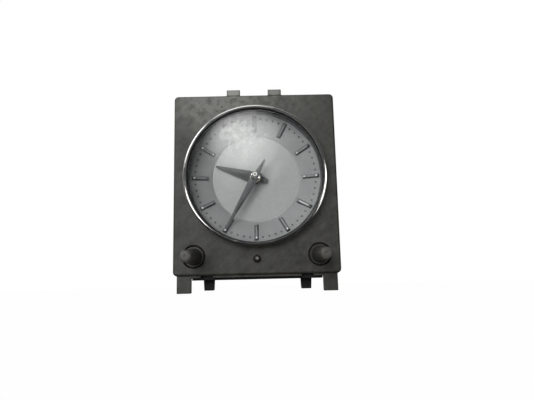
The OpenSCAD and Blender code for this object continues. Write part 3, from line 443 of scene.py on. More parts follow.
# %% [markdown]
# ## Grained grey plate
# The plate is warm dark grey plastic, handled for years. It is mottled all over. Along its top
# and at the upper left it is paler, from dust and a painted sheen. The tabs' faces carry painted
# light. Edges that turn away from the front, the foot of the locating pin and the right leg are
# darkened with painted shade, and a few specks are dirt. The pin's tip has a painted highlight. A
# place is given by its x, z and radius in millimetres.

# %% Plate grey
plate_dark = (0.022, 0.0215, 0.018)
plate_light = (0.05, 0.049, 0.042)
dust_and_sheen_grey = (0.17, 0.172, 0.155)
tab_lit_grey = (0.26, 0.262, 0.24)
dirt_and_shade_brown = (0.014, 0.011, 0.009)
pin_highlight_pale = (0.15, 0.142, 0.13)
dust_and_sheen_corner = (-20, 38, 24)
dust_and_sheen_top = (2, 44, 38)
tab_lit_spots = [((-9.15, 38.2, 2.9), 0.85), ((9.15, 38.2, 2.9), 0.5)]
dirt_specks = [(-21.8, -23.1), (27.4, -17.5), (-14.2, 31.3), (-23.8, -36.3)]
dirt_speck_r = 0.55
shaded_right_leg = (31, -48, 13)
pin_shade_ring = (0, -35.4, 2.0)
pin_highlight_spot = (0.2, -35.2, 0.8)


def turned_away(tree):
    """Zero where a surface faces the front, and one where it faces sideways or back."""
    return along(tree, "Y", of="Normal").level(-0.97, -0.5)


def grained_grey():
    """The plate's plastic: mottled, with dust and a painted sheen at the upper left and painted shade at
    its edges.
    """
    material, tree = new_finish("grained grey plate")
    mottle = noise(tree, 1.6, detail=5)
    smear = noise(tree, (9.0, 9.0, 3.0), detail=4, turn=-40)
    shade = noise(tree, 7.0, detail=5) + mottle + smear
    colour = shade.level(1.2, 1.8).tint(plate_dark, plate_light)
    film = noise(tree, 3.0, detail=6).level(0.35, 0.65, 0, 0.6)
    scuff = noise(tree, (6.0, 6.0, 0.8), detail=4, turn=-38).level(0.5, 0.75, 0, 0.3)
    # Dust and a painted sheen: paler along the top and at the upper left.
    upper_left = patch(tree, *dust_and_sheen_corner, core=0.3) + patch(tree, *dust_and_sheen_top) * 0.95
    dust_and_highlight = upper_left * (film + scuff + 0.2)
    colour = dust_and_highlight.level(0, 0.8, 0, 0.8).tint(colour, dust_and_sheen_grey)
    # Painted light on the tabs' front faces, more on the left one.
    for spot, share in tab_lit_spots:
        colour = (patch(tree, *spot, core=0.7) * share).tint(colour, tab_lit_grey)
    # Painted shade: edges that turn away from the front are darker.
    colour = (turned_away(tree) * 0.65).tint(colour, dirt_and_shade_brown)
    # Dirt specks, then painted shade round the pin's foot and on the right leg.
    dirt_and_shade = specks(tree, spacing=7.0, radius=0.3, share=0.25) * 0.6
    for x, z in dirt_specks:
        dirt_and_shade += patch(tree, x, z, dirt_speck_r, core=0.4)
    dirt_and_shade += patch(tree, *pin_shade_ring, core=0.75) * 0.8 + patch(tree, *shaded_right_leg, core=0.4) * 0.3
    colour = dirt_and_shade.level(0, 0.9, 0, 0.9).tint(colour, dirt_and_shade_brown)
    # Painted highlight on the locating pin's tip.
    colour = patch(tree, *pin_highlight_spot, core=0.5).tint(colour, pin_highlight_pale)
    return coat(material, colour, uneven(mottle, 0.48, 0.62), noise(tree, 0.3) + scuff, 0.01, gloss=0.4)


finishes["plate_grey"] = grained_grey()
print("plate finish made")

# %% [markdown]
# ## Buttons in painted light
# The buttons are of the same plastic as the plate. Their colour follows the depth: the tip is
# paler with a painted highlight, and the stem gets darker towards its foot with painted shade.

# %% Button grey
lit_tip_grey = (0.065, 0.063, 0.055)
shaded_foot_grey = (0.026, 0.025, 0.022)
light_to_shade_stretch = (-19 * MM, -9 * MM)


def lit_and_shaded_button():
    """The buttons' plastic, with a painted highlight at the tip and painted shade towards the foot."""
    material, tree = new_finish("lit and shaded button grey")
    fine = noise(tree, 0.4)
    # Painted light and shade: paler at the tip, darker towards the foot.
    tip_to_foot = along(tree, "Y").level(*light_to_shade_stretch) + uneven(noise(tree, 2.0, detail=4), -0.15, 0.15)
    colour = tip_to_foot.level(0, 1).tint(lit_tip_grey, shaded_foot_grey)
    return coat(material, colour, uneven(fine, 0.36, 0.48), fine, 0.01, gloss=0.45)


finishes["button_grey"] = lit_and_shaded_button()
print("button finish made")

# %% [markdown]
# ## Bright chrome
# The ring is plated and polished, so nearly all its look comes from what it mirrors. A real plated
# ring still has faint ripples and fingerprints: broad, shallow waves bend the lines a little, and
# smudges dull the shine in places.

# %% Chrome
chrome_clean = (0.8, 0.8, 0.79)
chrome_smudged = (0.68, 0.67, 0.65)


def bright_chrome():
    """Plated metal with faint ripples and fingerprints."""
    material, tree = new_finish("bright chrome")
    smudge = noise(tree, 4.0, detail=4)
    ripple = noise(tree, 5.0)
    colour = smudge.level(0.4, 0.7).tint(chrome_clean, chrome_smudged)
    return coat(material, colour, smudge.level(0.4, 0.75, 0.05, 0.16), ripple, 0.06, bare=1.0)


finishes["bezel_chrome"] = bright_chrome()
print("chrome made")

# %% [markdown]
# ## Clear lens
# The lens is a flat clear pane, dusty at the upper left. Glass that bends light would put what is
# behind it in shade, because a lamp's shadow rays don't bend, so those rays meet a transparent
# shader and pass straight through. A thin pale layer over the glass, in blotches, is dust and a
# painted glare at the upper left.

# %% Lens
dust_and_glare_haze = (0.16, 0.46)
dust_and_glare_pale = (0.8, 0.81, 0.8)
guide_clear = (0.9, 0.93, 0.93, 1)
lens_dust_and_glare = (-5, 16.5, 17)
thick_dust_and_glare = (-11, 20, 9)
lens_speck = (-9.6, 23.3, 0.6)


def dust_and_glare_glass():
    """Clear glass that lets lamps through, with a blotchy film of dust and painted glare."""
    material, tree = new_finish("clear lens with dust and painted glare")
    glass = tree.nodes["Principled BSDF"]
    feed(tree, glass, {"Base Color": white, "Roughness": 0.0, "IOR": 1.46, "Transmission Weight": 1.0})
    speck = patch(tree, *lens_speck, core=0.5)
    film_look = {"Base Color": speck.tint(dust_and_glare_pale, dirt_and_shade_brown), "Roughness": 0.45}
    film = node(tree, "ShaderNodeBsdfPrincipled", film_look)
    # Dust and painted glare: a pale film in blotches at the upper left.
    blotch = noise(tree, 2.6, detail=6).level(0.32, 0.68, *dust_and_glare_haze)
    upper_left = patch(tree, *lens_dust_and_glare, core=0.25) + patch(tree, *thick_dust_and_glare) * 0.5
    thin_film = noise(tree, 6.0, detail=5).level(0.45, 0.8, 0, 0.05)
    dust_and_highlight = upper_left * blotch + thin_film + speck * 0.9
    lamp_rays = value(tree, "ShaderNodeLightPath", out="Is Shadow Ray")
    clear = node(tree, "ShaderNodeBsdfTransparent")
    show(tree, mixed(tree, lamp_rays, mixed(tree, dust_and_highlight, glass, film), clear))
    return material


def frosted_clear():
    """The light guide's clear acrylic, frosted so that it spreads light."""
    material, tree = new_finish("frosted acrylic")
    frost = noise(tree, 0.5, detail=3)
    feed(tree, tree.nodes["Principled BSDF"], {"Transmission Weight": 0.8})
    return coat(material, guide_clear, uneven(frost, 0.3, 0.5), frost, 0.01)


finishes["lens_clear"] = dust_and_glare_glass()
finishes["light_clear"] = frosted_clear()
print("clear finishes made")

# %% [markdown]
# ## Satin dial
# The chapter ring is a cool satin silver, sprayed over fine rays that run out from the middle. The
# disc inside it is paler, with a fine linen grain pressed into it. Both are paint with a little
# metal in it, and both are paler at the upper left with a painted glare. The rays follow the angle
# round the dial.

# %% Dial finishes
paint_metal = 0.1
lit_spot = (-4, 15.5, 23)
ring_rays = 900
thread_w = 0.16
thread_l = 2.2


def rays(tree, fineness):
    """Noise that runs out from the dial's middle, with about this many rays in a full turn."""
    sides = {0: along(tree, "X"), 1: along(tree, "Z")}
    angle = value(tree, "ShaderNodeMath", sides, operation="ARCTAN2")
    inputs = {"W": angle * (fineness / math.tau), "Scale": 1.0}
    return value(tree, "ShaderNodeTexNoise", inputs, "Fac", noise_dimensions="1D")


def lit_paint(tree, shade, dark, light, glare_colour):
    """Paint between a dark and a light tone, with a painted glare at the dial's upper left."""
    return (patch(tree, *lit_spot, core=0.15) * 0.8).tint(shade.tint(dark, light), glare_colour)


def satin_silver():
    """The chapter ring's satin paint."""
    material, tree = new_finish("satin silver dial")
    ray = rays(tree, ring_rays)
    shade = (ray * 0.6 + noise(tree, 5.0, detail=3)).level(0.5, 1.1)
    paint_and_glare = lit_paint(tree, shade, (0.18, 0.188, 0.19), (0.218, 0.227, 0.226), (0.45, 0.455, 0.46))
    return coat(material, paint_and_glare, uneven(ray, 0.5, 0.6), ray, 0.006, paint_metal)


def linen_silver():
    """The centre disc's paler paint with its fine linen grain."""
    material, tree = new_finish("linen silver disc")
    cloth = noise(tree, (thread_w, 4.0, thread_l)) + noise(tree, (thread_l, 4.0, thread_w))
    shade = cloth.level(0.75, 1.25)
    paint_and_glare = lit_paint(tree, shade, (0.28, 0.289, 0.286), (0.335, 0.345, 0.34), (0.52, 0.53, 0.525))
    return coat(material, paint_and_glare, cloth.level(0.8, 1.2, 0.5, 0.6), cloth, 0.004, paint_metal)


finishes["dial_silver"] = satin_silver()
finishes["dial_pale"] = linen_silver()
finishes["marker_metal"] = metal("dark cut baton", (0.085, 0.088, 0.091), streak=(0.2, 0.2, 2.0), bare=0.4)
finishes["hand_metal"] = metal("smoked steel hand", (0.068, 0.07, 0.073), rough=0.36,
                               streak=(0.15, 0.15, 1.5), bare=0.3)
print("dial finishes made")

# %% [markdown]
# ## Board, copper and case
# The circuit board has copper runs under a green mask, which show as paler straight lines. The
# winding is fine lacquered wire, so its colour and relief change in bands along the coil. The case
# is black plastic with a coarser grain than the plate.

# %% Board, copper and case finishes
run_spacing = 3.2 * MM
wires_per_mm = 1.6


def solder_mask():
    """Green mask over straight copper runs."""
    material, tree = new_finish("green solder mask")
    grid = {"Vector": placed(tree, [run_spacing] * 3), "Scale": 1.0, "Mortar Size": 0.06}
    line = value(tree, "ShaderNodeTexBrick", grid, "Fac")
    colour = line.tint((0.012, 0.085, 0.03), (0.04, 0.19, 0.07))
    return coat(material, colour, uneven(noise(tree, 2.0), 0.25, 0.35), line, 0.02)


def wound_copper():
    """Lacquered copper wire, wound side by side along X."""
    material, tree = new_finish("lacquered copper wire")
    place = value(tree, "ShaderNodeTexCoord", out="Object")
    bands = {"Vector": place, "Scale": wires_per_mm / MM, "Distortion": 0.3}
    turn = value(tree, "ShaderNodeTexWave", bands, "Fac")
    return coat(material, turn.tint((0.3, 0.1, 0.035), (0.72, 0.3, 0.13)), 0.35, turn, 0.06, bare=1.0)


finishes["board_green"] = solder_mask()
finishes["copper"] = wound_copper()
finishes["case_black"] = moulding("grained black case", (0.009, 0.009, 0.009), rough=0.6, grain=0.5,
                                  depth=0.02, gloss=0.2)
print("finishes in all:", len(finishes))

# %% [markdown]
# ## Dressing the solids
# Every solid came in with the name of its finish on its one material slot. The loop swaps that
# plain material for the finish of the same name. Solids whose shape is right need nothing more.

# %% Give every solid its finish
for solid in nodes.values():
    slot_name = solid.material_slots[0].material.name
    solid.material_slots[0].material = finishes[slot_name]
print("solids dressed:", len(nodes))

# %% [markdown]
# ## Rounding mouldings
# Some solids are replaced by finer pieces. Mouldings are merged copies of their solids with small
# rounded edges, because real mouldings have no sharp edges and the rounding is what catches light.
# A flat with many corners can fold over itself when its edges are rounded, so every such flat is
# filled afresh afterwards.

# %% Filling flats
same_way = 0.999999


def one_flat_of(face):
    """All the faces that lie in one flat with this one, reached across shared edges."""
    flat, ends = {face}, [face]
    while ends:
        last = ends.pop()
        for near in [other for edge in last.edges for other in edge.link_faces]:
            if near not in flat and near.normal.dot(face.normal) > same_way:
                flat.add(near)
                ends.append(near)
    return flat


def fill_flats(mesh):
    """Fill each flat afresh with triangles between its rim and its holes."""
    bm = bmesh.new()
    bm.from_mesh(mesh)
    for face in [face for face in bm.faces if len(face.verts) > 4]:
        if not face.is_valid:
            continue
        flat = one_flat_of(face)
        normal = sum((each.normal * each.calc_area() for each in flat), Vector()).normalized()
        inner = {edge for each in flat for edge in each.edges if flat.issuperset(edge.link_faces)}
        rim = {edge for each in flat for edge in each.edges} - inner
        bmesh.ops.delete(bm, geom=list(flat), context="FACES_ONLY")
        bmesh.ops.delete(bm, geom=[edge for edge in inner if edge.is_valid], context="EDGES")
        bmesh.ops.triangle_fill(bm, use_beauty=True, edges=list(rim), normal=normal)
    bmesh.ops.recalc_face_normals(bm, faces=bm.faces)
    bm.to_mesh(mesh)
    bm.free()


print("flats are faces whose normals agree to", same_way)

# %% Rounded copies
edge_steps = 3
crease = math.radians(35)
weld_gap = 0.002 * MM
flat_limit = math.radians(0.6)


def settle(piece):
    """Turn a piece and its modifiers into one plain mesh."""
    bpy.context.view_layer.update()
    shaped = piece.evaluated_get(bpy.context.evaluated_depsgraph_get())
    mesh = bpy.data.meshes.new_from_object(shaped)
    piece.modifiers.clear()
    piece.data = mesh
    return piece


def smooth(mesh, sharp=crease):
    """Shade a mesh smooth, with crisp edges past the sharp angle."""
    mesh.shade_smooth()
    mesh.set_sharp_from_angle(angle=sharp)


def round_edges(piece, width, sharp=crease):
    """Round every sharp edge and keep the flats flat; edges past the sharp angle stay crisp."""
    bevel = piece.modifiers.new("edges", "BEVEL")
    bevel.width = width
    bevel.segments = edge_steps
    bevel.limit_method = "ANGLE"
    bevel.angle_limit = crease
    bevel.use_clamp_overlap = False
    bevel.miter_outer = "MITER_ARC"
    settle(piece)
    fill_flats(piece.data)
    smooth(piece.data, sharp)
    flats = piece.modifiers.new("flats", "WEIGHTED_NORMAL")
    flats.keep_sharp = True
    return settle(piece)


def rounded_copy(name, source, width, sharp=crease):
    """A copy of a solid with its loose triangles merged, its flats joined up and its edges rounded."""
    bm = bmesh.new()
    bm.from_mesh(nodes[source].data)
    bmesh.ops.remove_doubles(bm, verts=bm.verts, dist=weld_gap)
    bmesh.ops.dissolve_limit(bm, angle_limit=flat_limit, verts=bm.verts, edges=bm.edges)
    return round_edges(add_drawn(name, bm), width, sharp)


def dress(piece, body, slot, *replaced, finish=None):
    """Give a piece its finish, let it ride on its body, and hide the solids it stands for."""
    piece.data.materials.clear()
    piece.data.materials.append(finish or finishes[slot])
    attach(piece, body)
    if replaced:
        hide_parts(*replaced)
    print(piece.name, "has", len(piece.data.polygons), "faces")


print("edges rounded in", edge_steps, "steps")

# %% [markdown]
# ## Turning on a lathe
# The ring, the lens, the dial, the cap and the buttons are round. Each is drawn as half of its
# section and turned round an axis along Y, as on a lathe, which gives smooth mirror lines.

# %% Helpers for turned pieces
def full_turn(steps):
    """The angles of a full turn in even steps."""
    return [math.tau * i / steps for i in range(steps)]


def turned(name, outline, centre=(0.0, 0.0), steps=180, sharp=crease):
    """Turn an outline of (radius, depth) points round an axis along Y, as on a lathe."""
    bm = bmesh.new()
    rings = []
    for radius, depth in outline:
        if radius == 0:
            rings.append([bm.verts.new((centre[0], depth, centre[1]))] * steps)
            continue
        places = [(centre[0] + radius * math.sin(a), depth, centre[1] + radius * math.cos(a))
                  for a in full_turn(steps)]
        rings.append([bm.verts.new(place) for place in places])
    for ring, following in zip(rings, rings[1:] + rings[:1]):
        for i in range(steps):
            corners = dict.fromkeys([ring[i - 1], ring[i], following[i], following[i - 1]])
            if len(corners) > 2:
                bm.faces.new(corners)
    bmesh.ops.recalc_face_normals(bm, faces=bm.faces)
    piece = add_drawn(name, bm)
    smooth(piece.data, sharp)
    return piece


def arc(radius, depth, size, start, end, steps=12):
    """Points of an arc in an outline; 0 degrees points outwards and 90 degrees to the front."""
    angles = [math.radians(start + (end - start) * i / steps) for i in range(steps + 1)]
    return [(radius + size * math.cos(a), depth - size * math.sin(a)) for a in angles]


print("helpers for turned pieces ready")

# %% [markdown]
# ## Front plate
# The plate is one moulding with its tabs, legs, locating pin, guides and bosses. Drawing it again
# would risk moving something, so the piece is a merged copy of the solid with rounded edges.

# %% Front plate
moulding_round = 0.3 * MM
moulded_plate = rounded_copy("moulded_plate", "front_plate", moulding_round)
dress(moulded_plate, "housing", "plate_grey", "front_plate")

# %% [markdown]
# ## Chrome ring
# The ring is turned from brass tube and plated: a sleeve that sits in the plate, a collar, a
# rolled bead in front, and a slope that falls to the lip over the lens. Its mirror lines need a
# smooth outline, so it is turned afresh with many steps on the bead and a rounded lip. The bead is
# a low crown with a tight outer edge. A thin black skin over the chrome of the slope is painted
# shade.

# %% Chrome ring
ring_low, ring_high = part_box("chrome_bezel")
lens_low, lens_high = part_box("lens")
collar_r = ring_high.x
ring_front = ring_low.y
lens_r = lens_high.x
ring_steps = 240
bead_r = 2.0 * MM
bead_edge_r = 0.45 * MM
bead_out_angle = 70
bead_in_angle = 105
lip_angle = 120
collar_w = 0.75 * MM
sleeve_t = 0.9 * MM
lip_w = 0.3 * MM
lip_t = 0.6 * MM
lip_round = 0.15 * MM
sleeve_r = collar_r - collar_w
sleeve_in_r = sleeve_r - sleeve_t
lip_r = lens_r - lip_w
lip_front = lens_low.y - lip_t

bead_tilt = math.radians(90 - bead_out_angle)
edge_in = (bead_r - bead_edge_r) * math.sin(bead_tilt)
edge_fall = bead_r - (bead_r - bead_edge_r) * math.cos(bead_tilt)
edge_at = (collar_r - bead_edge_r, ring_front + edge_fall)
bead_at = (edge_at[0] - edge_in, ring_front + bead_r)
bead = arc(*edge_at, bead_edge_r, 0, bead_out_angle, steps=14)
bead += arc(*bead_at, bead_r, bead_out_angle, bead_in_angle, steps=20)[1:]
lip = arc(lip_r + lip_round, lip_front + lip_round, lip_round, lip_angle, 180, steps=6)
ring_outline = [(sleeve_in_r, ring_high.y), (sleeve_r, ring_high.y), (sleeve_r, 0), (collar_r, 0),
                *bead, *lip, (lip_r, lens_low.y), (sleeve_in_r, lens_low.y)]
chrome_ring = turned("chrome_ring", ring_outline, steps=ring_steps)
dress(chrome_ring, "housing", "bezel_chrome", "chrome_bezel")

# %% Black slope
# Painted shade: a thin black skin over the slope of the chrome.
skin_t = 0.04 * MM
bead_end = bead[-1]
lip_start = lip[0]
skin_outline = [lip_start, bead_end, (bead_end[0], bead_end[1] - skin_t),
                (lip_start[0], lip_start[1] - skin_t), (lip_r, lip_front + lip_round),
                (lip_r, lens_low.y - skin_t), (lip_r + skin_t, lens_low.y - skin_t)]
black_slope = turned("black_slope", skin_outline, steps=ring_steps)
dress(black_slope, "housing", "black_plastic")

# %% [markdown]
# ## Lens, gasket and wall
# The lens is a disc with slightly broken edges. Behind it a rubber gasket and a smoked grey wall
# close the gap between the lens and the dial, so that the dial lies in a shallow dark well.

# %% Lens, gasket and wall
broken_edge = 0.15 * MM
lens_outline = [(0, lens_low.y), (lens_r - broken_edge, lens_low.y), (lens_r, lens_low.y + broken_edge),
                (lens_r, lens_high.y - broken_edge), (lens_r - broken_edge, lens_high.y), (0, lens_high.y)]
lens_pane = turned("lens_pane", lens_outline)
dress(lens_pane, "housing", "lens_clear", "lens")

smoked_grey = moulding("smoked grey wall", (0.1, 0.103, 0.106))
for source, name, slot, finish in (("spacer_ring", "smoked_wall", "black_plastic", smoked_grey),
                                   ("lens_gasket", "thin_gasket", "gasket_rubber", None)):
    low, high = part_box(source)
    tube_outline = [(lip_r, high.y), (lens_r, high.y), (lens_r, low.y), (lip_r, low.y)]
    dress(turned(name, tube_outline), "housing", slot, source, finish=finish)

# %% [markdown]
# ## Dial
# The dial is two pressed sheets: a chapter ring that climbs towards the lens, and a flat disc set
# lower in the middle. The ring's inner edge is pressed to a small slope. The disc's pale paint
# climbs that slope as a thin skin, and the disc's hole just clears the pipe of the hour hand.

# %% Chapter ring and disc
dial_low, dial_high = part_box("dial_ring")
disc_low, disc_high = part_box("dial_centre")
seat_fit = 0.1 * MM
rim_gap = 0.01 * MM
pipe_hole_r = 2.45 * MM
hole_edge = 0.08 * MM
dial_rise = 3.0 * MM
slope_inset = 0.6 * MM
edge_w = 0.7 * MM
paint_t = 0.02 * MM
ring_sharp = math.radians(12)
dial_r = dial_high.x
slope_out_r = lens_r - slope_inset
ring_in_r = disc_high.x + seat_fit
ring_in_y = dial_low.y + dial_rise
slope = math.atan2(dial_rise, slope_out_r - ring_in_r)


def on_slope(radius):
    """Depth of the chapter ring's face at a radius."""
    return ring_in_y - (radius - ring_in_r) * math.tan(slope)


edge_r = ring_in_r + edge_w
edge_y = on_slope(edge_r)
dial_outline = [(ring_in_r, dial_high.y), (dial_r, dial_high.y), (dial_r, dial_low.y),
                (slope_out_r, dial_low.y), (edge_r, edge_y), (ring_in_r, disc_low.y + paint_t)]
chapter_ring = turned("chapter_ring", dial_outline, sharp=ring_sharp)
dress(chapter_ring, "housing", "dial_silver", "dial_ring")

rim_r = ring_in_r - rim_gap
skin_r = rim_r + edge_w
disc_outline = [(pipe_hole_r, disc_high.y), (rim_r, disc_high.y), (rim_r, disc_low.y + paint_t),
                (skin_r, edge_y), (skin_r, edge_y - paint_t), (rim_r, disc_low.y),
                (pipe_hole_r + hole_edge, disc_low.y), (pipe_hole_r, disc_low.y + hole_edge)]
centre_disc = turned("centre_disc", disc_outline)
dress(centre_disc, "housing", "dial_pale", "dial_centre")
print("chapter ring climbs at", round(math.degrees(slope), 1), "degrees")

# %% [markdown]
# ## Copies round the dial
# The hour batons and the minute dots repeat round the dial, so a Geometry Nodes tree makes them.
# It takes one pattern drawn at twelve o'clock, turns copies of it about the dial's axis, makes them
# real and gives them their finish. The result is kept as a plain mesh.

# %% Tree for copies round the dial
hours = 12


def new_tree(name, inputs):
    """Start a Geometry Nodes tree with named inputs; give back the tree and its input sockets."""
    tree = bpy.data.node_groups.new(name, "GeometryNodeTree")
    tree.interface.new_socket("Geometry", in_out="OUTPUT", socket_type="NodeSocketGeometry")
    for label, kind in inputs:
        tree.interface.new_socket(label, in_out="INPUT", socket_type="NodeSocket" + kind)
    return tree, node(tree, "NodeGroupInput").outputs


def copy_pattern(tree, given, places):
    """End a tree: put the pattern on its places, make the copies real and give them their finish."""
    pattern_in = {"Object": given["Pattern"], "As Instance": True}
    pattern = value(tree, "GeometryNodeObjectInfo", pattern_in, "Geometry")
    copies = value(tree, "GeometryNodeInstanceOnPoints", {"Instance": pattern, **places})
    real = value(tree, "GeometryNodeRealizeInstances", {"Geometry": copies})
    coated = value(tree, "GeometryNodeSetMaterial", {"Geometry": real, "Material": given["Finish"]})
    node(tree, "NodeGroupOutput", {"Geometry": coated})


dial_inputs = [("Pattern", "Object"), ("Copies", "Int"), ("Finish", "Material")]
dial_tree, given = new_tree("copies_round_dial", dial_inputs)
spots = value(dial_tree, "GeometryNodePoints", {"Count": given["Copies"]})
count_up = value(dial_tree, "GeometryNodeInputIndex")
one_step = value(dial_tree, "ShaderNodeMath", {0: math.tau, 1: given["Copies"]}, operation="DIVIDE")
about_axis = value(dial_tree, "ShaderNodeCombineXYZ", {"Y": one_step * count_up})
copy_pattern(dial_tree, given, {"Points": spots, "Rotation": about_axis})


def grow(name, tree, values, host=None):
    """Run a tree with these inputs and keep what it makes as a plain mesh."""
    piece = add_piece(name, host or bpy.data.meshes.new(name))
    modifier = piece.modifiers.new("tree", "NODES")
    modifier.node_group = tree
    for item in tree.interface.items_tree:
        if item.name in values:
            modifier[item.identifier] = values[item.name]
    settle(piece)
    bpy.data.objects.remove(values["Pattern"])
    return piece


def round_dial(name, pattern, finish):
    """A copy of a pattern at each hour, as one piece."""
    return grow(name, dial_tree, {"Pattern": pattern, "Copies": hours, "Finish": finish})


print("tree inputs:", [item.name for item in dial_tree.interface.items_tree])

# %% [markdown]
# ## Hour batons
# Each baton is a small dark bar with sloping sides and a narrow, paler flat on top. The bar follows
# the slope of the chapter ring. Real batons are diamond cut, so the facets stay crisp with only a
# hair of rounding. The flat is a second thin bar with a brushed finish, and the one at four o'clock
# has a painted highlight.

# %% Hour batons
baton_w = 1.9 * MM
baton_flat = 0.75 * MM
baton_h = 1.0 * MM
baton_in_r = 20.75 * MM
baton_out_r = 27.8 * MM
baton_run = (baton_out_r - baton_in_r) / math.cos(slope)
baton_side = (baton_w - baton_flat) / 2
baton_round = 0.05 * MM
glue_t = 0.03 * MM
crown_y = glue_t + baton_h


def laid_on_slope(along_by, across, above, turn=0.0):
    """A point on the chapter ring: along its slope from the batons' inner end, turned clockwise."""
    start = Vector((across, on_slope(baton_in_r), baton_in_r))
    outwards = Vector((0, -math.sin(slope), math.cos(slope)))
    upwards = Vector((0, -math.cos(slope), -math.sin(slope)))
    return Matrix.Rotation(turn, 3, "Y") @ (start + outwards * along_by + upwards * above)


def loft(bm, layers):
    """Add a closed shape through layers of points: a face at each end and walls between them."""
    rings = [[bm.verts.new(point) for point in layer] for layer in layers]
    bm.faces.new(rings[0])
    bm.faces.new(rings[-1])
    for lower, upper in zip(rings, rings[1:]):
        for i in range(len(lower)):
            bm.faces.new([lower[i - 1], lower[i], upper[i], upper[i - 1]])
    bmesh.ops.recalc_face_normals(bm, faces=bm.faces)


def bar(name, width, flat, low, high, inset, edge):
    """A bar at twelve o'clock: sloping sides between two heights, its ends set in from a baton's."""
    layers = []
    for across, height, end in ((width, low, inset), (flat, high, inset + (width - flat) / 2)):
        half = across / 2
        far = baton_run - end
        corners = [(end, -half), (end, half), (far, half), (far, -half)]
        layers.append([laid_on_slope(*corner, height) for corner in corners])
    bm = bmesh.new()
    loft(bm, layers)
    return round_edges(add_drawn(name, bm), edge)


one_baton = bar("one_baton", baton_w, baton_flat, glue_t, crown_y, 0, baton_round)
batons = round_dial("hour_batons", one_baton, finishes["marker_metal"])
dress(batons, "housing", "marker_metal", "hour_markers")

# %% Baton flats
flat_t = 0.02 * MM
flat_highlight = (0.4, 0.41, 0.405)
highlight_hour = 4
highlight_at_r = 24
highlight_reach = 4.5


def hour_patch(tree, radius, hour, reach):
    """One near a point of the dial, given by its radius in mm and its hour."""
    angle = math.tau * hour / hours
    return patch(tree, radius * math.sin(angle), radius * math.cos(angle), reach, core=0.8)


def brushed_flat():
    """Brushed metal with a painted highlight at one hour."""
    material, tree = new_finish("brushed baton flat")
    brushed = uneven(noise(tree, (0.2, 0.2, 1.5)), 0, 1)
    grey = brushed.tint((0.14, 0.145, 0.15), (0.19, 0.195, 0.2))
    # Painted highlight on the flat at four o'clock.
    highlight_mask = hour_patch(tree, highlight_at_r, highlight_hour, highlight_reach)
    return coat(material, highlight_mask.tint(grey, flat_highlight), brushed.level(0, 1, 0.35, 0.45))


flat_finish = brushed_flat()
one_flat = bar("one_flat", baton_flat, baton_flat - 2 * flat_t, crown_y - flat_t, crown_y + flat_t,
               baton_side, flat_t / 4)
flats = round_dial("baton_flats", one_flat, flat_finish)
dress(flats, "housing", "marker_metal", finish=flat_finish)

# %% [markdown]
# ## Bright pips and minute dots
# A small round pip stands near each end of a baton. Only some of them catch the light, so their
# finish has painted glints at those places and is dark at the others. Four printed dots mark the
# minutes between two batons. Both are thin trim, so they exist only here. A stud is lofted through a
# few rings of points that stand on the slope, and the tree does the rest.

# %% Pips
pip_r = 0.45 * MM
pip_rise = 0.22 * MM
pip_steps = 4
pip_inset = 1.0 * MM
inner_pip_r = 0.34 * MM
inner_pip_inset = 0.4 * MM
pip_dark = (0.1, 0.103, 0.106)
pip_glint_pale = (0.85, 0.86, 0.84)
glint_reach = 1.4
outer_glint_r = 26.9
inner_glint_r = 21.15
glints = [(outer_glint_r, hour) for hour in (3, 5, 6, 7, 8, 9, 10)]
glints += [(inner_glint_r, hour) for hour in (2, 3, 10)]
stud_sides = 14


def studs(name, laid):
    """A pattern of round studs, each given as how far along the slope, its outline and its turn."""
    bm = bmesh.new()
    for along_by, outline, turn in laid:
        loft(bm, [[laid_on_slope(along_by + radius * math.cos(a), radius * math.sin(a), height, turn)
                   for a in full_turn(stud_sides)] for radius, height in outline])
    piece = add_drawn(name, bm)
    smooth(piece.data)
    return piece


def glinting():
    """Dark like the batons, with painted glints at the ends that catch the light."""
    material, tree = new_finish("glinting pip")
    cloud = uneven(noise(tree, 1.0), 0.9, 1.0)
    # Painted glints at the listed ends.
    highlight_mask = hour_patch(tree, *glints[0], glint_reach)
    for glint in glints[1:]:
        highlight_mask += hour_patch(tree, *glint, glint_reach)
    colour = (highlight_mask.level(0, 1) * cloud).tint(pip_dark, pip_glint_pale)
    return coat(material, colour, cloud.level(0.9, 1.0, 0.3, 0.2))


def dome(radius, rise):
    """Outline of a low dome that stands on a baton's flat."""
    climb = [math.pi / 2 * k / (pip_steps + 0.5) for k in range(pip_steps + 1)]
    top = [(radius * math.cos(a), crown_y + rise * math.sin(a)) for a in climb]
    return [(radius, crown_y - rise), *top]


pip_finish = glinting()
both_ends = studs("both_ends", [(baton_run - pip_inset, dome(pip_r, pip_rise), 0.0),
                                (baton_side + inner_pip_inset, dome(inner_pip_r, pip_rise / 2), 0.0)])
pips = round_dial("hour_pips", both_ends, pip_finish)
dress(pips, "housing", "lamp_white", finish=pip_finish)

# %% Minute dots
dots_between = 4
dot_ring_r = 26.4 * MM
dot_r = 0.5 * MM
dot_rise = 0.05 * MM
dot_along = (dot_ring_r - baton_in_r) / math.cos(slope)
dot_outline = [(dot_r, -dot_rise), (dot_r, dot_rise)]
minute = math.tau / hours / (dots_between + 1)
four_dots = studs("four_dots", [(dot_along, dot_outline, minute * k) for k in range(1, dots_between + 1)])
dot_print = moulding("grey dot print", (0.07, 0.072, 0.074))
dots = round_dial("minute_dots", four_dots, dot_print)
dress(dots, "housing", "black_plastic", finish=dot_print)

# %% [markdown]
# ## Hands and hub cap
# The hands are pressed from thin steel with a ridge along the middle, so one half of each is always
# darker than the other. They are copies of their solids with the thin edges rounded and the ridge
# kept sharp. The cap on the hub is turned, with a polished slope round a dark flat. A small pale
# ring a little off its middle is a painted reflection. The slope mirrors two of the pale cards as
# short arcs.

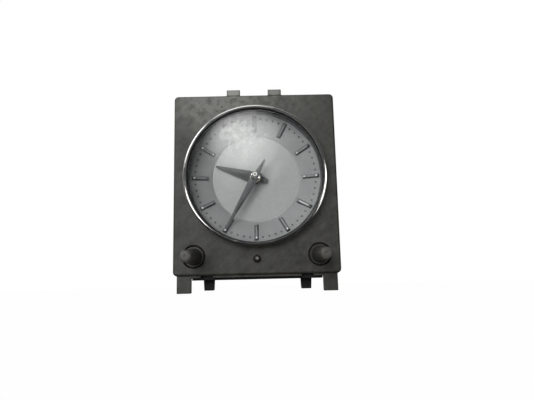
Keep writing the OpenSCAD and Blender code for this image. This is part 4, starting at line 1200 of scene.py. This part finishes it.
# %% Hands
facet_sharp = math.radians(8)
hand_round = 0.04 * MM
for body in ("hour", "minute"):
    source = body + "_hand"
    hand = rounded_copy("ridged_" + source, source, hand_round, sharp=facet_sharp)
    dress(hand, body, "hand_metal", source)

# %% Hub cap
cap_low, cap_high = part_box("hand_cap")
cap_steps = 96
cap_r = cap_high.x
cap_flat = cap_low.y + (cap_high.y - cap_low.y) / 2
cap_rim_w = 0.55 * MM
rim_in_r = cap_r - cap_rim_w
cap_outline = [(0, cap_high.y), (cap_r, cap_high.y), (cap_r, cap_flat + cap_rim_w / 2),
               (rim_in_r, cap_flat), (0, cap_flat)]
hub_cap = turned("hub_cap", cap_outline, steps=cap_steps, sharp=facet_sharp)
dress(hub_cap, "minute", "bezel_chrome", "hand_cap")

flat_outline = [(0, cap_flat), (rim_in_r, cap_flat),
                (rim_in_r, cap_flat - skin_t), (0, cap_flat - skin_t)]
hub_flat = turned("hub_flat", flat_outline, steps=cap_steps)
dress(hub_flat, "minute", "hand_metal")

# Painted reflection: a pale ring where the cap shows a bright reflection.
eye_r = 0.68 * MM
eye_round = 0.27 * MM
eye_at = (-0.15 * MM, 0.7 * MM)
eye_outline = [(eye_r - eye_round, cap_flat), (eye_r + eye_round, cap_flat)]
eye_outline += arc(eye_r, cap_low.y + eye_round, eye_round, 0, 180, steps=16)
hub_ring = turned("hub_ring", eye_outline, centre=eye_at, steps=64)
dress(hub_ring, "minute", "lamp_white")

# %% [markdown]
# ## Set buttons
# Each button is a long tapered stem with a round tip and a small dimple, and a skirt that sits in
# the plate's hole with a narrow dark gap round it. The two buttons are alike, so one outline is
# turned about two centres.

# %% Set buttons
stem_foot_r = 3.5 * MM
stem_tip_r = 2.33 * MM
tip_round = 1.1 * MM
dimple_r = 0.7 * MM
dimple_depth = 0.2 * MM
skirt_r = 4.55 * MM
skirt_w = 0.4 * MM
skirt_y = 0.8 * MM
foot_y = 0.25 * MM
shoulder_y = (3.0 * MM, 4.2 * MM)
tail_r = 2.2 * MM
button_steps = 96
crown_angles = [math.radians(15 * k) for k in range(6)]
for side in ("left", "right"):
    source = side + "_button"
    low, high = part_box(source)
    middle = (low + high) / 2
    shoulder_r = (high.z - low.z) / 2
    outline = [(0, high.y), (tail_r, high.y), (tail_r, shoulder_y[1]), (shoulder_r, shoulder_y[1]),
               (shoulder_r, shoulder_y[0]), (skirt_r, shoulder_y[0]), (skirt_r, skirt_y),
               (skirt_r - skirt_w, foot_y), (stem_foot_r, foot_y)]
    outline += arc(stem_tip_r - tip_round, low.y + tip_round, tip_round, 0, 90)
    outline += [(dimple_r * math.cos(a), low.y + dimple_depth * math.sin(a)) for a in crown_angles]
    outline += [(0, low.y + dimple_depth)]
    button = turned(side + "_set_button", outline, centre=(middle.x, middle.z), steps=button_steps)
    dress(button, side + "_set", "button_grey", source)

# %% [markdown]
# ## Rear case
# The case is one black moulding with its rail, clips, ribs, vents and screw wells. Like the plate,
# it is a merged copy of the solid with rounded edges.

# %% Rear case
grained_case = rounded_copy("grained_case", "rear_case", moulding_round)
dress(grained_case, "housing", "case_black", "rear_case")

# %% [markdown]
# ## Case screws
# Four like screws hold the case, so one is drawn with its seat at the origin and a second tree puts
# a copy on each of four points. Its head is turned with a low crown, and a cross is cut into it.

# %% One case screw
screw_low, screw_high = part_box("case_screws")
screw_steps = 48
head_r = 2.4 * MM
head_h = 1.8 * MM
crown_h = 0.5 * MM
shank_r = 1.2 * MM
thread_depth = 0.22 * MM
thread_pitch = 0.8 * MM
slot_w = 0.6 * MM
slot_depth = 0.6 * MM
slot_l = 1.4 * head_r
seat_y = screw_high.y - head_h
shank_l = seat_y - screw_low.y
thread_turns = int(shank_l / thread_pitch)


def case_screw():
    """One screw with its seat at the origin and its head towards the back."""
    outline = [(0, -shank_l)]
    for k in range(thread_turns):
        at = -shank_l + k * thread_pitch
        outline += [(shank_r - thread_depth, at), (shank_r, at + thread_pitch / 2)]
    side_h = head_h - crown_h
    outline += [(shank_r, 0), (head_r, 0)]
    outline += [(head_r * math.cos(a), side_h + crown_h * math.sin(a)) for a in crown_angles]
    return turned("case_screw", outline + [(0, head_h)], steps=screw_steps)


def cut_cross(screw):
    """Cut a cross into a screw's head."""
    bm = bmesh.new()
    for width, height in ((slot_l, slot_w), (slot_w, slot_l)):
        blade = bmesh.ops.create_cube(bm, size=1.0)["verts"]
        bmesh.ops.scale(bm, verts=blade, vec=(width, 2 * slot_depth, height))
        bmesh.ops.translate(bm, verts=blade, vec=(0, head_h, 0))
    cutter = add_drawn("cross", bm)
    cut = screw.modifiers.new("cross", "BOOLEAN")
    cut.object = cutter
    cut.solver = "EXACT"
    cut.use_self = True
    settle(screw)
    bpy.data.objects.remove(cutter)
    return screw


crossed_screw = cut_cross(case_screw())
print("screw with", thread_turns, "turns of thread")

# %% Four case screws
screw_inputs = [("Points", "Geometry"), ("Pattern", "Object"), ("Finish", "Material")]
point_tree, given = new_tree("copies_on_points", screw_inputs)
copy_pattern(point_tree, given, {"Points": given["Points"]})
screw_spots = bpy.data.meshes.new("screw_spots")
screw_spots.from_pydata([(x, seat_y, z) for x in (screw_low.x + head_r, screw_high.x - head_r)
                         for z in (screw_low.z + head_r, screw_high.z - head_r)], [], [])
screw_values = {"Pattern": crossed_screw, "Finish": finishes["steel"]}
screws = grow("cross_screws", point_tree, screw_values, screw_spots)
dress(screws, "housing", "steel", "case_screws")
